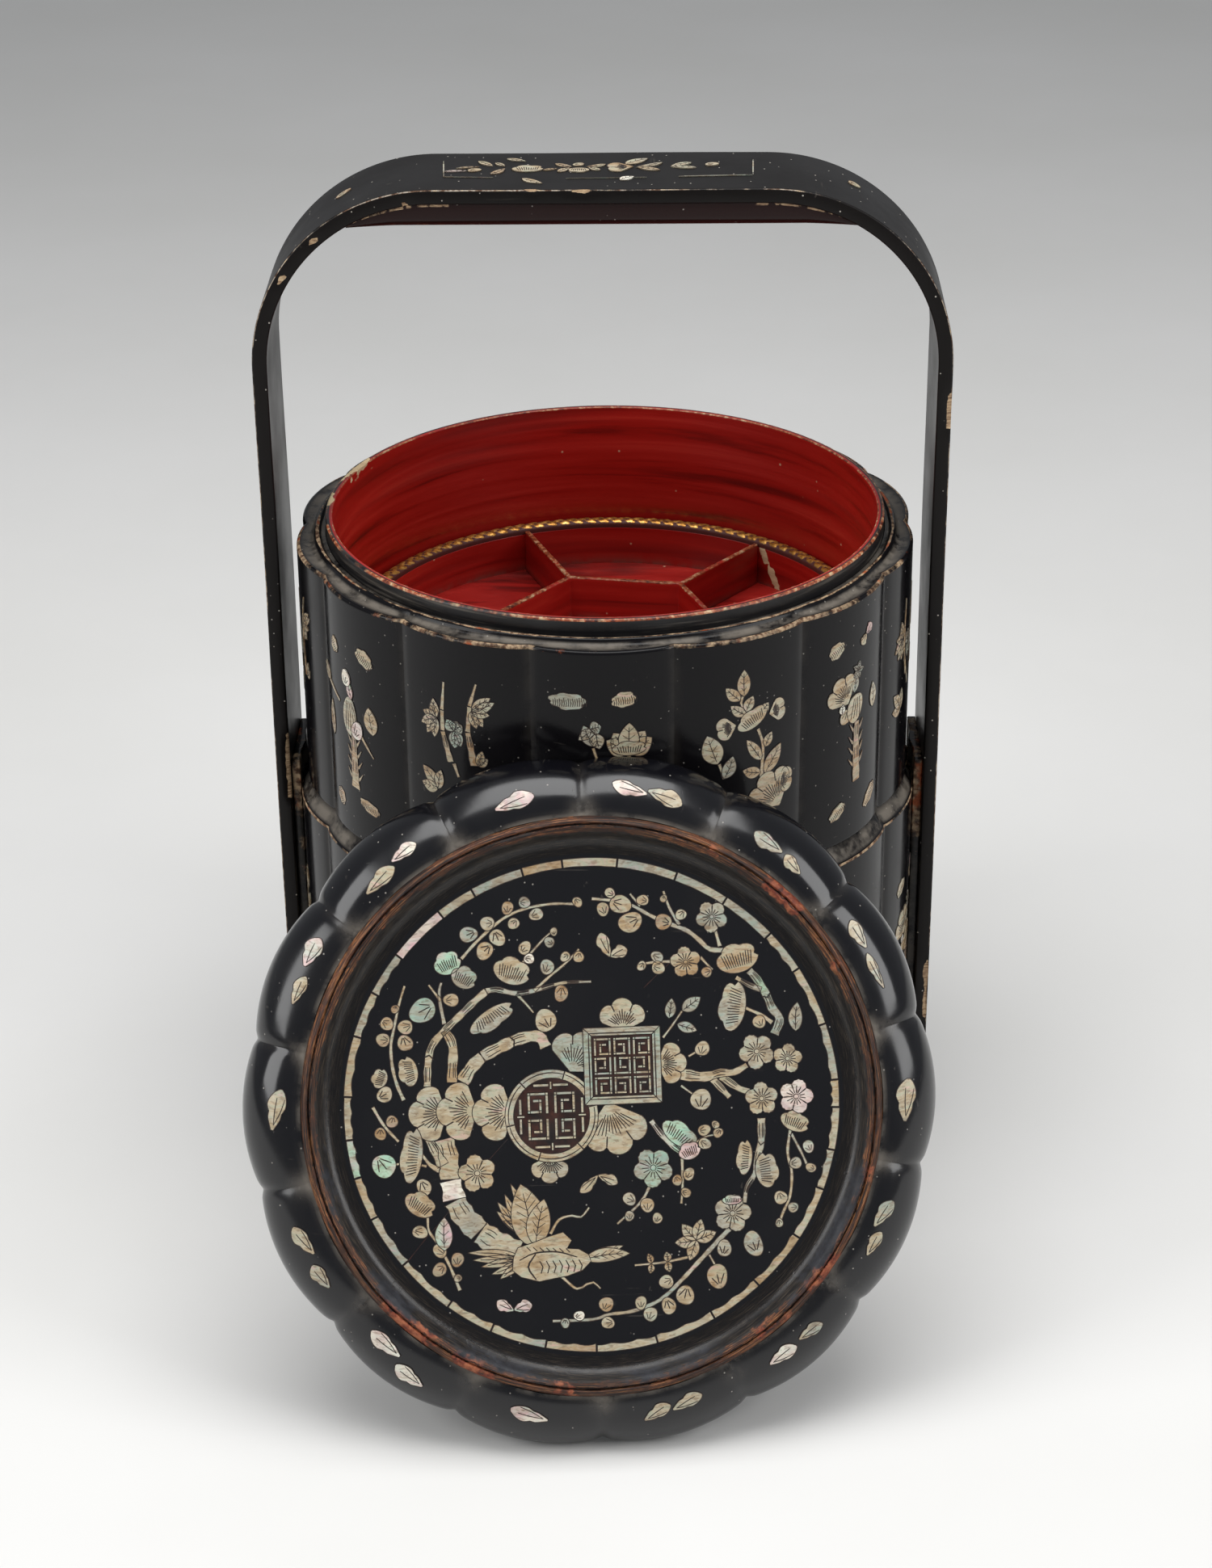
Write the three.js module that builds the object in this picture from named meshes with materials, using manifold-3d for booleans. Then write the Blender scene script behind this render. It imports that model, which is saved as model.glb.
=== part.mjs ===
// A round, lobed food basket: a deep lacquered container with a bentwood handle, a lift-off
// upper tier with a divided tray in it, and a lobed lid that leans against the front.
// Millimetres. +Z is up, the basket's axis is the Z axis, and the front faces -Y.

import * as THREE from "three";
import { mergeVertices } from "three/addons/utils/BufferGeometryUtils.js";
import Module from "manifold-3d";

const wasm = await Module();
wasm.setup();

// Driving dimensions
const linerBore = 116.8; // radius of the red inside of both tiers
const linerThickness = 3;
const tierWall = 9.9; // thickness of the upper tier's wall at a groove
const containerStep = 3.6; // how far the container's wall stands out past the upper tier's
const lidOverhang = 6.5; // how far the lid's edge stands out past the upper tier
const legStandoff = 2; // from the container's crests to the legs
const plinthMargin = 3.7; // plinth outside the legs
const plinthHeight = 18;
const seamHeight = 184; // where the upper tier sits on the container
const tierHeight = 110.4; // seam to the outer edge of the upper tier's shoulder
const spigotHeight = 8.1; // how far a liner stands out of its shoulder as a collar
const handRoom = 147; // from the collar's top to the handle's top

// Lobes and facets
const lobes = 14;
const grooveDepth = 3; // crest to groove, on every lobed outline
const stepsPerLobe = 6;
const lobedSteps = lobes * stepsPerLobe;
const roundSteps = 56;

// Clearances
const curvedGap = 0.3; // between curved faces glued or fitted together
const collarGap = 0.5; // collar to what slides over it
const glueFilm = 0.02; // between the lid's flat glued faces
const leanGap = 0.3; // lid to the wall that it leans on
const overrun = 1; // how far a shape that cuts or joins runs past the face it meets

// Outlines and levels that follow from these
const wallBore = linerBore + linerThickness + curvedGap;
const tierRadius = wallBore + tierWall + grooveDepth; // to the crest of a lobe
const containerRadius = tierRadius + containerStep;
const lidRadius = tierRadius + lidOverhang;
const shoulderHeight = seamHeight + tierHeight;
const collarTop = shoulderHeight + spigotHeight;
const handleHeight = collarTop + handRoom;

// Walls, floors and shoulders
const floorThickness = 5;
const floorLift = 4; // container's floor above the plinth
const crozeDepth = 6; // how far a floor's edge sits in its wall
const floorRadius = wallBore + crozeDepth - curvedGap;
const linerRounding = 0.7;
const recessHeight = spigotHeight + collarGap; // room under the upper tier for the container's collar
const containerShoulder = 10; // height of the container's shoulder ring
const ledgeBand = 3.3; // height of that ring's worn outer edge
const ledgeInset = 1;
const ledgeRounding = 0.4;
const seatInset = 2; // from the upper tier's crests to the edge of its flat seat
const tierShoulder = 4.4; // height of the upper tier's shoulder ring
const shoulderRounding = 1.2;
const beadInset = 2.5; // from the liner's bore in the wall to the bead round the collar
const beadWidth = 2;
const beadHeight = 2;
const edgeRounding = 1; // lower edge of the upper tier

// Plinth and base board
const boardInset = 8; // board under the plinth's top
const boardLap = 2.4; // board's edge past the wall's bore
const plinthMould = 6; // height of its moulded upper edge
const plinthRounding = 1.5;

// Tray
const trayOffset = 1.5; // the loose tray lies a little to one side
const trayDrop = 52.5; // from the collar's top to the tray's
const trayPlay = 3; // tray's rim to the liner
const trayRimWidth = 6.4;
const trayRimHeight = 3.5;
const trayWallThickness = 4;
const compartmentDepth = 21.5;
const trayFloorThickness = 3;
const dividerThickness = 2.2;
const dividerDrop = 1.8; // from the rim's top to the dividers' top
const traySides = 6; // of its middle compartment, each with an outer one
const sideAngle = Math.PI / traySides;
const hexagonRadius = 51.7;
const trayTurn = -8.5; // degrees
const bearerWidth = 8;

// Handle and its fixings
const handleCornerRadius = 76;
const stripThickness = 6.2;
const stripDepth = 51.7;
const stripRounding = 0.8;
const handleHalfWidth = containerRadius + legStandoff + stripThickness;
const plinthRadius = handleHalfWidth + plinthMargin;
const gripDrop = 9.6; // grip bar's height under the strip
const gripEase = 7; // how soon its top curves away, which leaves a thin glue gap
const gripInset = 1; // strip's edges past the bar's sides
const gripRounding = 4;
const cheekWidth = 44;
const cheekRise = 6; // how far the cheeks stand above the seam
const tenonDepth = 10;
const tenonInset = 4; // from the leg's edges to the tenon's
const tenonRise = 4; // how far the tenon runs up into the leg
const dowelSize = 4.5;
const dowelHeights = [60, 140];
const dowelInLeg = 4;
const dowelInWall = 7;

// Lid
const lidLean = 25.5; // degrees that its face looks up
const lidYaw = 4; // degrees that its face looks to the right
const lidShift = -5.2; // its centre beside the basket's axis
const lidEdgeRounding = 0.6;
const lidRimWidth = 24.3; // from its crests to the panel
const lidRimTop = 22;
const lidPlay = 1.9; // its recess to the collar that it closes
const lidRecess = 10;
const seatRingWidth = 3.2; // how far the panel's edge lies on the seat ring
const seatRingThickness = 2.5;
const lidPanelRadius = lidRadius - lidRimWidth;
const lidPanelThickness = 4;
const ridgeWidth = 6.8;
const ridgeRise = 2.5; // above the rim's top
const pearlInset = 9.8; // from the ridge to the shell border
const pearlOuter = lidPanelRadius - ridgeWidth - pearlInset;
const pearlWidth = 3.5;
const inlayRise = 0.5;
const medallionRadius = 18.5;
const medallionPlace = [-16.3, -3.5];
const squareSide = 30.7;
const squarePlace = [12.5, 15.5];

// Hand-drawn sections: [share of the width, share of the height]
const ridgeShares = [[1, 0.75], [0.82, 0.94], [0.62, 1], [0.41, 0.89], [0.15, 0.6]];
const trayRimShares = [[0, 0], [0.91, 0], [1, 0.29], [0.92, 0.71], [0.72, 1], [0.22, 1], [0, 0.74]];

// Colours: lacquer black, lacquer red, gilding, shell
const black = { color: 0x0c0b0c, roughness: 0.22, metalness: 0 };
const red = { color: 0x8c0f0d, roughness: 0.35, metalness: 0 };
const gold = { color: 0xb98a35, roughness: 0.4, metalness: 0.6 };
const shell = { color: 0xcfc5b2, roughness: 0.3, metalness: 0.1 };
const worn = { color: 0x7a3515, roughness: 0.5, metalness: 0 };

const radians = THREE.MathUtils.degToRad;

// Solids

function solidOf(geometry) {
  const bare = geometry.clone();
  bare.deleteAttribute("normal");
  bare.deleteAttribute("uv");
  const merged = mergeVertices(bare, 1e-4);
  const mesh = new wasm.Mesh({
    numProp: 3,
    vertProperties: merged.attributes.position.array,
    triVerts: new Uint32Array(merged.index.array),
  });
  return new wasm.Manifold(mesh);
}

function geometryOf(solid) {
  const mesh = solid.getMesh();
  const geometry = new THREE.BufferGeometry();
  geometry.setAttribute("position", new THREE.BufferAttribute(mesh.vertProperties, 3));
  geometry.setIndex(new THREE.BufferAttribute(mesh.triVerts, 1));
  geometry.computeVertexNormals();
  return geometry;
}

function cut(geometry, ...tools) {
  const body = tools.reduce((rest, tool) => rest.subtract(solidOf(tool)), solidOf(geometry));
  return geometryOf(body);
}

function box(low, high) {
  const size = high.map((value, axis) => value - low[axis]);
  const geometry = new THREE.BoxGeometry(...size);
  return geometry.translate(...high.map((value, axis) => (value + low[axis]) / 2));
}

// Round pieces: a closed profile of [radius, height] about the Z axis

function turned(profile, steps = roundSteps) {
  const points = profile.map(([radius, height]) => new THREE.Vector2(radius, height));
  points.push(points[0].clone());
  return new THREE.LatheGeometry(points, steps).rotateX(Math.PI / 2);
}

function ring(inner, outer, bottom, top, steps) {
  return turned([[inner, bottom], [outer, bottom], [outer, top], [inner, top]], steps);
}

// A hand-drawn section's points, from its shares of a width and a height
function section(shares, inner, width, bottom, height) {
  return shares.map(([across, up]) => [inner + across * width, bottom + up * height]);
}

function disc(radius, bottom, top, steps = roundSteps) {
  const geometry = new THREE.CylinderGeometry(radius, radius, top - bottom, steps);
  return geometry.rotateX(Math.PI / 2).translate(0, 0, (top + bottom) / 2);
}

// Lobed pieces: each lobe is one arc, and the arcs meet in sharp grooves

function lobeDip(angle, crest) {
  const half = Math.PI / lobes;
  const groove = crest - grooveDepth;
  const sagitta = crest - groove * Math.cos(half);
  const halfChord = groove * Math.sin(half);
  const arcRadius = (halfChord ** 2 + sagitta ** 2) / (2 * sagitta);
  const centre = crest - arcRadius;
  const fromCrest = angle - Math.round(angle / (2 * half)) * 2 * half;
  const along = centre * Math.cos(fromCrest);
  return crest - along - Math.sqrt(arcRadius ** 2 - (centre * Math.sin(fromCrest)) ** 2);
}

// The profile is [radius, height, share of the lobes' dip], and turn is the first crest's angle.
function lobed(profile, crest, turn = 0) {
  const geometry = turned(profile, lobedSteps);
  const place = geometry.attributes.position;
  const count = profile.length + 1;
  for (let k = 0; k < place.count; k += 1) {
    const share = profile[(k % count) % profile.length][2];
    const angle = (Math.floor(k / count) * 2 * Math.PI) / lobedSteps;
    const radius = Math.hypot(place.getX(k), place.getY(k));
    const scale = 1 - (share * lobeDip(angle - turn, crest)) / radius;
    place.setXY(k, place.getX(k) * scale, place.getY(k) * scale);
  }
  return geometry;
}

function lobedPrism(crest, bottom, top) {
  const core = crest / 2;
  const shellOf = lobed(
    [[core, bottom, 0], [crest, bottom, 1], [crest, top, 1], [core, top, 0]],
    crest,
  );
  const filled = solidOf(shellOf).add(solidOf(disc(core + overrun, bottom, top)));
  return geometryOf(filled);
}

// A part's mesh

const group = new THREE.Group();

function add(name, geometry, finish, parent = group) {
  const mesh = new THREE.Mesh(geometry, new THREE.MeshStandardMaterial(finish));
  mesh.name = name;
  parent.add(mesh);
  return mesh;
}

// The handle: an arch of bent strip with a grip bar under its top

function archGeometry() {
  const inner = handleHalfWidth - stripThickness;
  const straight = handleHalfWidth - handleCornerRadius;
  const springing = handleHeight - handleCornerRadius;
  const innerCorner = handleCornerRadius - stripThickness;
  const foot = plinthHeight;
  const shape = new THREE.Shape();
  shape.moveTo(handleHalfWidth, foot);
  shape.absarc(straight, springing, handleCornerRadius, 0, Math.PI / 2, false);
  shape.absarc(-straight, springing, handleCornerRadius, Math.PI / 2, Math.PI, false);
  shape.lineTo(-handleHalfWidth, foot);
  shape.lineTo(-inner, foot);
  shape.absarc(-straight, springing, innerCorner, Math.PI, Math.PI / 2, true);
  shape.absarc(straight, springing, innerCorner, Math.PI / 2, 0, true);
  shape.lineTo(inner, foot);
  shape.closePath();
  const strip = new THREE.ExtrudeGeometry(shape, {
    depth: stripDepth - 2 * stripRounding,
    curveSegments: 14,
    bevelThickness: stripRounding,
    bevelSize: stripRounding,
    bevelOffset: -stripRounding,
    bevelSegments: 1,
  });
  return strip.rotateX(Math.PI / 2).translate(0, stripDepth / 2 - stripRounding, 0);
}

// A tenon under each leg, run up into the leg, or with a margin the mortise that takes it.
function legTenon(side, margin = 0) {
  const inner = handleHalfWidth - stripThickness;
  const halfWidth = stripDepth / 2 - tenonInset + margin;
  const low = plinthHeight - tenonDepth - margin;
  const near = inner - margin;
  const far = handleHalfWidth + margin;
  const [left, right] = side > 0 ? [near, far] : [-far, -near];
  return box([left, -halfWidth, low], [right, halfWidth, plinthHeight + tenonRise]);
}

function dowel(side, height, spare = 0) {
  const legFace = handleHalfWidth - stripThickness;
  const inside = containerRadius - grooveDepth - dowelInWall - spare;
  const outside = legFace + dowelInLeg + spare;
  const half = dowelSize / 2;
  const [left, right] = side > 0 ? [inside, outside] : [-outside, -inside];
  return box([left, -half, height - half], [right, half, height + half]);
}

const sides = [
  { word: "left", side: -1 },
  { word: "right", side: 1 },
];
const dowelHoles = sides.flatMap(({ side }) => dowelHeights.map((height) => dowel(side, height, overrun)));

function addHandle() {
  const tenons = sides.map(({ side }) => solidOf(legTenon(side)));
  const arch = tenons.reduce((whole, tenon) => whole.add(tenon), solidOf(archGeometry()));
  add("handle_arch", cut(geometryOf(arch), ...dowelHoles), black);
  add("grip_bar", gripGeometry(), black);
  for (const { word, side } of sides) {
    add("leg_cheek_" + word, cheekGeometry(side), black);
    dowelHeights.forEach((height, k) => {
      add("dowel_" + word + "_" + (k + 1), dowel(side, height), worn);
    });
  }
}

// The bar fills the arch under its straight top, out to where the corners curve down through it.
function gripGeometry() {
  const straight = handleHalfWidth - handleCornerRadius - gripEase;
  const top = handleHeight - stripThickness;
  const bottom = top - gripDrop;
  const corner = handleCornerRadius - stripThickness;
  const reach = Math.acos(1 - gripDrop / corner);
  const side = new THREE.Shape();
  side.moveTo(-straight, top);
  side.absarc(-straight, top - corner, corner, Math.PI / 2, Math.PI / 2 + reach, false);
  side.absarc(straight, top - corner, corner, Math.PI / 2 - reach, Math.PI / 2, false);
  side.closePath();
  const width = stripDepth - 2 * gripInset;
  const long = new THREE.ExtrudeGeometry(side, { depth: width, curveSegments: 10, bevelEnabled: false });
  long.rotateX(Math.PI / 2).translate(0, width / 2, 0);

  const edge = width / 2 - gripRounding;
  const outline = new THREE.Shape();
  outline.moveTo(-width / 2, top + overrun);
  outline.absarc(-edge, bottom + gripRounding, gripRounding, Math.PI, Math.PI * 1.5, false);
  outline.absarc(edge, bottom + gripRounding, gripRounding, Math.PI * 1.5, Math.PI * 2, false);
  outline.lineTo(width / 2, top + overrun);
  outline.closePath();
  const length = 2 * handleHalfWidth;
  const rounded = new THREE.ExtrudeGeometry(outline, { depth: length, curveSegments: 5, bevelEnabled: false });
  rounded.rotateX(Math.PI / 2).rotateZ(Math.PI / 2).translate(-length / 2, 0, 0);
  return geometryOf(solidOf(long).intersect(solidOf(rounded)));
}

// A cheek packs the space between a leg's flat face and the container's lobed wall.
function cheekGeometry(side) {
  const legFace = handleHalfWidth - stripThickness;
  const innermost = containerRadius - 2 * grooveDepth;
  const [left, right] = side > 0 ? [innermost, legFace] : [-legFace, -innermost];
  const top = seamHeight + cheekRise;
  const block = box([left, -cheekWidth / 2, plinthHeight], [right, cheekWidth / 2, top]);
  const wall = lobedPrism(containerRadius + curvedGap, plinthHeight - overrun, top + overrun);
  return cut(block, wall, ...dowelHoles);
}

// The container: plinth, base board, lobed wall, floor, liner and shoulder

function addContainer() {
  const boardRadius = wallBore + boardLap;
  const board = plinthHeight - boardInset;
  const mould = plinthHeight - plinthMould;
  const plinth = lobed(
    [
      [boardRadius + curvedGap, 0, 0],
      [plinthRadius - plinthRounding, 0, 1],
      [plinthRadius, plinthRounding, 1],
      [plinthRadius, mould, 1],
      [plinthRadius - plinthRounding, mould + plinthMould * 0.6, 1],
      [plinthRadius - 2 * plinthRounding, plinthHeight, 1],
      [wallBore, plinthHeight, 0],
      [wallBore, board + glueFilm, 0],
      [boardRadius + curvedGap, board + glueFilm, 0],
    ],
    plinthRadius,
  );
  const mortises = sides.map(({ side }) => legTenon(side, curvedGap));
  add("base_plinth", cut(plinth, ...mortises), black);
  add("base_board", disc(boardRadius, 0, board), black);

  const floorBottom = plinthHeight + floorLift;
  const floorTop = floorBottom + floorThickness;
  const wallTop = seamHeight - containerShoulder;
  const wall = lobed(
    [
      [wallBore, plinthHeight, 0],
      [containerRadius, plinthHeight, 1],
      [containerRadius, wallTop, 1],
      [wallBore, wallTop, 0],
      [wallBore, floorTop, 0],
      [wallBore + crozeDepth, floorTop, 0],
      [wallBore + crozeDepth, floorBottom, 0],
      [wallBore, floorBottom, 0],
    ],
    containerRadius,
  );
  add("container_wall", cut(wall, ...dowelHoles), black);
  add("container_floor", disc(floorRadius, floorBottom, floorTop), red);
  const collar = seamHeight + spigotHeight;
  add("container_liner", linerGeometry(floorTop, collar), red);
  const ledge = containerRadius - ledgeInset;
  const shoulder = lobed(
    [
      [wallBore, wallTop, 0],
      [containerRadius, wallTop, 1],
      [containerRadius, wallTop + ledgeBand / 3, 1],
      [ledge + ledgeRounding, wallTop + (ledgeBand * 2) / 3, 1],
      [ledge - ledgeRounding, wallTop + ledgeBand, 1],
      [tierRadius - seatInset, seamHeight, 1],
      [wallBore, seamHeight, 0],
    ],
    containerRadius,
  );
  add("container_shoulder", shoulder, black);
}

function linerGeometry(bottom, top) {
  const outer = linerBore + linerThickness;
  return turned([
    [linerBore, bottom],
    [outer, bottom],
    [outer, top - linerRounding],
    [outer - linerRounding, top],
    [linerBore + linerRounding, top],
    [linerBore, top - linerRounding],
  ]);
}

// The upper tier, which lifts off the container's collar

const tierFloorBottom = seamHeight + recessHeight;
const tierFloorTop = tierFloorBottom + floorThickness;

function addTier() {
  const wallTop = shoulderHeight - tierShoulder;
  const recessBore = wallBore + collarGap - curvedGap;
  const wall = lobed(
    [
      [recessBore, seamHeight, 0],
      [tierRadius - edgeRounding, seamHeight, 1],
      [tierRadius, seamHeight + edgeRounding, 1],
      [tierRadius, wallTop, 1],
      [wallBore, wallTop, 0],
      [wallBore, tierFloorTop, 0],
      [wallBore + crozeDepth, tierFloorTop, 0],
      [wallBore + crozeDepth, tierFloorBottom, 0],
      [recessBore, tierFloorBottom, 0],
    ],
    tierRadius,
  );
  add("tier_wall", wall, black);
  add("tier_floor", disc(floorRadius, tierFloorBottom, tierFloorTop), red);
  add("tier_liner", linerGeometry(tierFloorTop, collarTop), red);
  const bead = wallBore + beadInset;
  const beadTop = shoulderHeight + beadHeight;
  const shoulder = lobed(
    [
      [wallBore, wallTop, 0],
      [tierRadius, wallTop, 1],
      [tierRadius, shoulderHeight - shoulderRounding, 1],
      [tierRadius - shoulderRounding * 0.7, shoulderHeight, 1],
      [bead + beadWidth, shoulderHeight + beadHeight * 0.3, 0.3],
      [bead + beadWidth / 2, beadTop - beadHeight * 0.1, 0],
      [bead - beadWidth * 0.3, beadTop, 0],
      [wallBore, beadTop - beadHeight * 0.6, 0],
    ],
    tierRadius,
  );
  add("tier_shoulder", shoulder, black);
  const bearerOuter = linerBore - curvedGap;
  add("tray_bearer", ring(bearerOuter - bearerWidth, bearerOuter, tierFloorTop, trayBottom), red);
}

// The divided tray

const trayRimTop = collarTop - trayDrop;
const trayFloorTop = trayRimTop - compartmentDepth;
const trayBottom = trayFloorTop - trayFloorThickness;

function addTray() {
  const tray = new THREE.Group();
  tray.position.x = trayOffset;
  group.add(tray);
  const rimInner = linerBore - trayPlay - trayRimWidth;
  const wallOuter = rimInner + trayWallThickness;
  const rimBottom = trayRimTop - trayRimHeight;
  add("tray_floor", disc(wallOuter, trayBottom, trayFloorTop), red, tray);
  add("tray_wall", ring(rimInner, wallOuter, trayFloorTop, rimBottom), red, tray);
  const rim = section(trayRimShares, rimInner, trayRimWidth, rimBottom, trayRimHeight);
  add("tray_rim", turned(rim), gold, tray);
  const top = trayRimTop - dividerDrop;
  add("tray_hexagon", hexagonGeometry(top), red, tray);
  for (let k = 0; k < traySides; k += 1) {
    const divider = dividerGeometry(rimInner - curvedGap, top);
    divider.rotateZ(radians(trayTurn) + 2 * sideAngle * k);
    add("tray_divider_" + (k + 1), divider, red, tray);
  }
}

function hexagonGeometry(top) {
  const inner = hexagonRadius - dividerThickness / Math.cos(sideAngle);
  const wall = new THREE.Shape(hexagonPoints(hexagonRadius));
  wall.holes.push(new THREE.Path(hexagonPoints(inner)));
  const geometry = new THREE.ExtrudeGeometry(wall, { depth: top - trayFloorTop, bevelEnabled: false });
  return geometry.translate(0, 0, trayFloorTop);
}

function hexagonPoints(radius) {
  return Array.from({ length: traySides }, (_, k) => {
    const angle = radians(trayTurn) + 2 * sideAngle * k;
    return new THREE.Vector2(radius * Math.cos(angle), radius * Math.sin(angle));
  });
}

// A divider is a board with a notch at its inner end that fits a corner of the hexagon.
function dividerGeometry(outer, top) {
  const half = dividerThickness / 2;
  const tip = hexagonRadius + curvedGap;
  const shape = new THREE.Shape();
  shape.moveTo(tip, 0);
  shape.lineTo(tip - half * Math.tan(sideAngle), -half);
  shape.lineTo(outer - curvedGap, -half);
  shape.lineTo(outer - curvedGap, half);
  shape.lineTo(tip - half * Math.tan(sideAngle), half);
  shape.closePath();
  const geometry = new THREE.ExtrudeGeometry(shape, { depth: top - trayFloorTop, bevelEnabled: false });
  return geometry.translate(0, 0, trayFloorTop);
}

// The lid, built flat with its face up and then leant against the front

function addLid() {
  const lid = new THREE.Group();
  placeLid(lid);
  group.add(lid);
  const recessBore = linerBore + linerThickness + lidPlay;
  const seatTop = lidRecess + seatRingThickness;
  const panelBottom = seatTop + glueFilm;
  const seatBore = lidPanelRadius + curvedGap;
  const halfLobe = Math.PI / lobes;
  const rim = [
    [recessBore, 0, 0],
    [lidRadius - lidEdgeRounding, 0, 1],
    ...rimCurve(lidRadius, seatBore),
    [seatBore, panelBottom, 0],
    [recessBore, panelBottom, 0],
  ];
  add("lid_rim", lobed(rim, lidRadius, halfLobe), black, lid);
  const seatRing = ring(lidPanelRadius - seatRingWidth, recessBore - curvedGap, lidRecess, seatTop);
  add("lid_seat_ring", seatRing, black, lid);

  const panelTop = panelBottom + lidPanelThickness;
  const ridgeInner = lidPanelRadius - ridgeWidth;
  const panel = turned([
    [0, panelBottom],
    [lidPanelRadius, panelBottom],
    [lidPanelRadius, panelTop],
    [0, panelTop],
  ]);
  add("lid_panel", panel, black, lid);
  const ridgeBottom = panelTop + glueFilm;
  const ridgeTop = lidRimTop + ridgeRise;
  const ridge = turned([
    [ridgeInner, ridgeBottom],
    [lidPanelRadius, ridgeBottom],
    ...section(ridgeShares, ridgeInner, ridgeWidth, ridgeBottom, ridgeTop - ridgeBottom),
  ]);
  add("lid_ridge", ridge, worn, lid);
  const inlayTop = ridgeBottom + inlayRise;
  add("lid_pearl_border", ring(pearlOuter - pearlWidth, pearlOuter, ridgeBottom, inlayTop), shell, lid);

  const [sx, sy] = squarePlace;
  const half = squareSide / 2;
  const square = box([sx - half, sy - half, ridgeBottom], [sx + half, sy + half, inlayTop]);
  add("lid_square_panel", square, shell, lid);
  const clear = half + curvedGap;
  const notch = box([sx - clear, sy - clear, 0], [sx + clear, sy + clear, ridgeTop]);
  const medallion = disc(medallionRadius, ridgeBottom, inlayTop, 48).translate(...medallionPlace, 0);
  add("lid_medallion", cut(medallion, notch), shell, lid);
}

// The rim's outside, a quarter ellipse from its lower edge up to the panel, where the lobes die out.
function rimCurve(outside, inside) {
  const steps = 7;
  return Array.from({ length: steps + 1 }, (_, k) => {
    const angle = (Math.PI / 2) * (0.06 + (0.94 * k) / steps);
    const across = 1 - Math.cos(angle);
    return [outside - across * (outside - inside), lidRimTop * Math.sin(angle), 1 - across ** 2];
  });
}

// The lid stands on two lobes of its edge and leans its back on the upper tier's front crest.
function placeLid(lid) {
  const lean = radians(lidLean);
  const yaw = radians(lidYaw);
  const across = new THREE.Vector3(Math.cos(yaw), Math.sin(yaw), 0);
  const upSlope = new THREE.Vector3(
    -Math.sin(lean) * Math.sin(yaw),
    Math.sin(lean) * Math.cos(yaw),
    Math.cos(lean),
  );
  const out = new THREE.Vector3().crossVectors(across, upSlope);
  const frame = new THREE.Matrix4().makeBasis(across, upSlope, out);
  let down = 0;
  let depth = 0;
  for (let k = 0; k < lobedSteps; k += 1) {
    const angle = (k * 2 * Math.PI) / lobedSteps;
    const radius = lidRadius - lidEdgeRounding - lobeDip(angle - Math.PI / lobes, lidRadius);
    const edge = new THREE.Vector3(radius * Math.sin(angle), -radius * Math.cos(angle), 0);
    edge.applyMatrix4(frame);
    down = Math.max(down, -edge.z);
    if (edge.z > 0) depth = Math.max(depth, edge.y - tierFront(edge.x + lidShift) + leanGap);
  }
  lid.quaternion.setFromRotationMatrix(frame);
  lid.position.set(lidShift, -depth, down);
}

// How far forward the upper tier's wall reaches at a place beside its middle.
function tierFront(x) {
  const angle = Math.asin(THREE.MathUtils.clamp(x / tierRadius, -1, 1));
  return -(tierRadius - lobeDip(angle, tierRadius)) * Math.cos(angle);
}

addContainer();
addHandle();
addTier();
addTray();
addLid();

export default group;
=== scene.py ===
"""A round, lobed food basket in black lacquer with shell inlay: a deep container with a
bentwood handle, an upper tier with a divided red tray, and a lobed lid leant on the front."""

import math
import random
from collections import namedtuple

import bmesh
import bpy
import numpy as np
from mathutils import Matrix, Vector, noise


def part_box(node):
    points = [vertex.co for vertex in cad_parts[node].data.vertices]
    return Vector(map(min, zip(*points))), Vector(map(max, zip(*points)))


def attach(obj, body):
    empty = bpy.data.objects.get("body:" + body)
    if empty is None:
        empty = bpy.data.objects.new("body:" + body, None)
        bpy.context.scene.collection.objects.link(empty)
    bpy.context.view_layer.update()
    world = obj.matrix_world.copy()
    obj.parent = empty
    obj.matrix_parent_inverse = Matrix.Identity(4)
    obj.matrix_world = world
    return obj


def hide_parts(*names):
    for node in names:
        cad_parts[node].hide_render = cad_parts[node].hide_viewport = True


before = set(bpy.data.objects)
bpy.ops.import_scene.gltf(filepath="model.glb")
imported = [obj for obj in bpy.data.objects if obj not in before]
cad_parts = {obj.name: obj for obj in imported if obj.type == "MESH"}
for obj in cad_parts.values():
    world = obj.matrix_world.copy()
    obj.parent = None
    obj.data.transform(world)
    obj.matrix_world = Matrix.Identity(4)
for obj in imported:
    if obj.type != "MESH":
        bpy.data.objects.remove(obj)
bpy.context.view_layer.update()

MM = 0.001

# Camera: its place in millimetres, its angles in radians and its reach in photograph pixels
CAMERA_PLACE = Vector((20.18, -1305.16, 841.95))
CAMERA_YAW = -0.01602
CAMERA_PITCH = 0.47709
CAMERA_ROLL = -0.01033
PIXELS_AWAY = 4055.85
LENS = 75.224
PHOTO_CENTRE = (750.0, 970.5)

# Lobes, in millimetres and radians
LOBES = 14
HALF_LOBE = math.pi / LOBES
GROOVE_DEPTH = 3.0
STEPS_PER_HALF_LOBE = 14
LOBED_STEPS = LOBES * 2 * STEPS_PER_HALF_LOBE
UNEVENNESS = 0.25
ROUND_STEPS = 280

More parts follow.
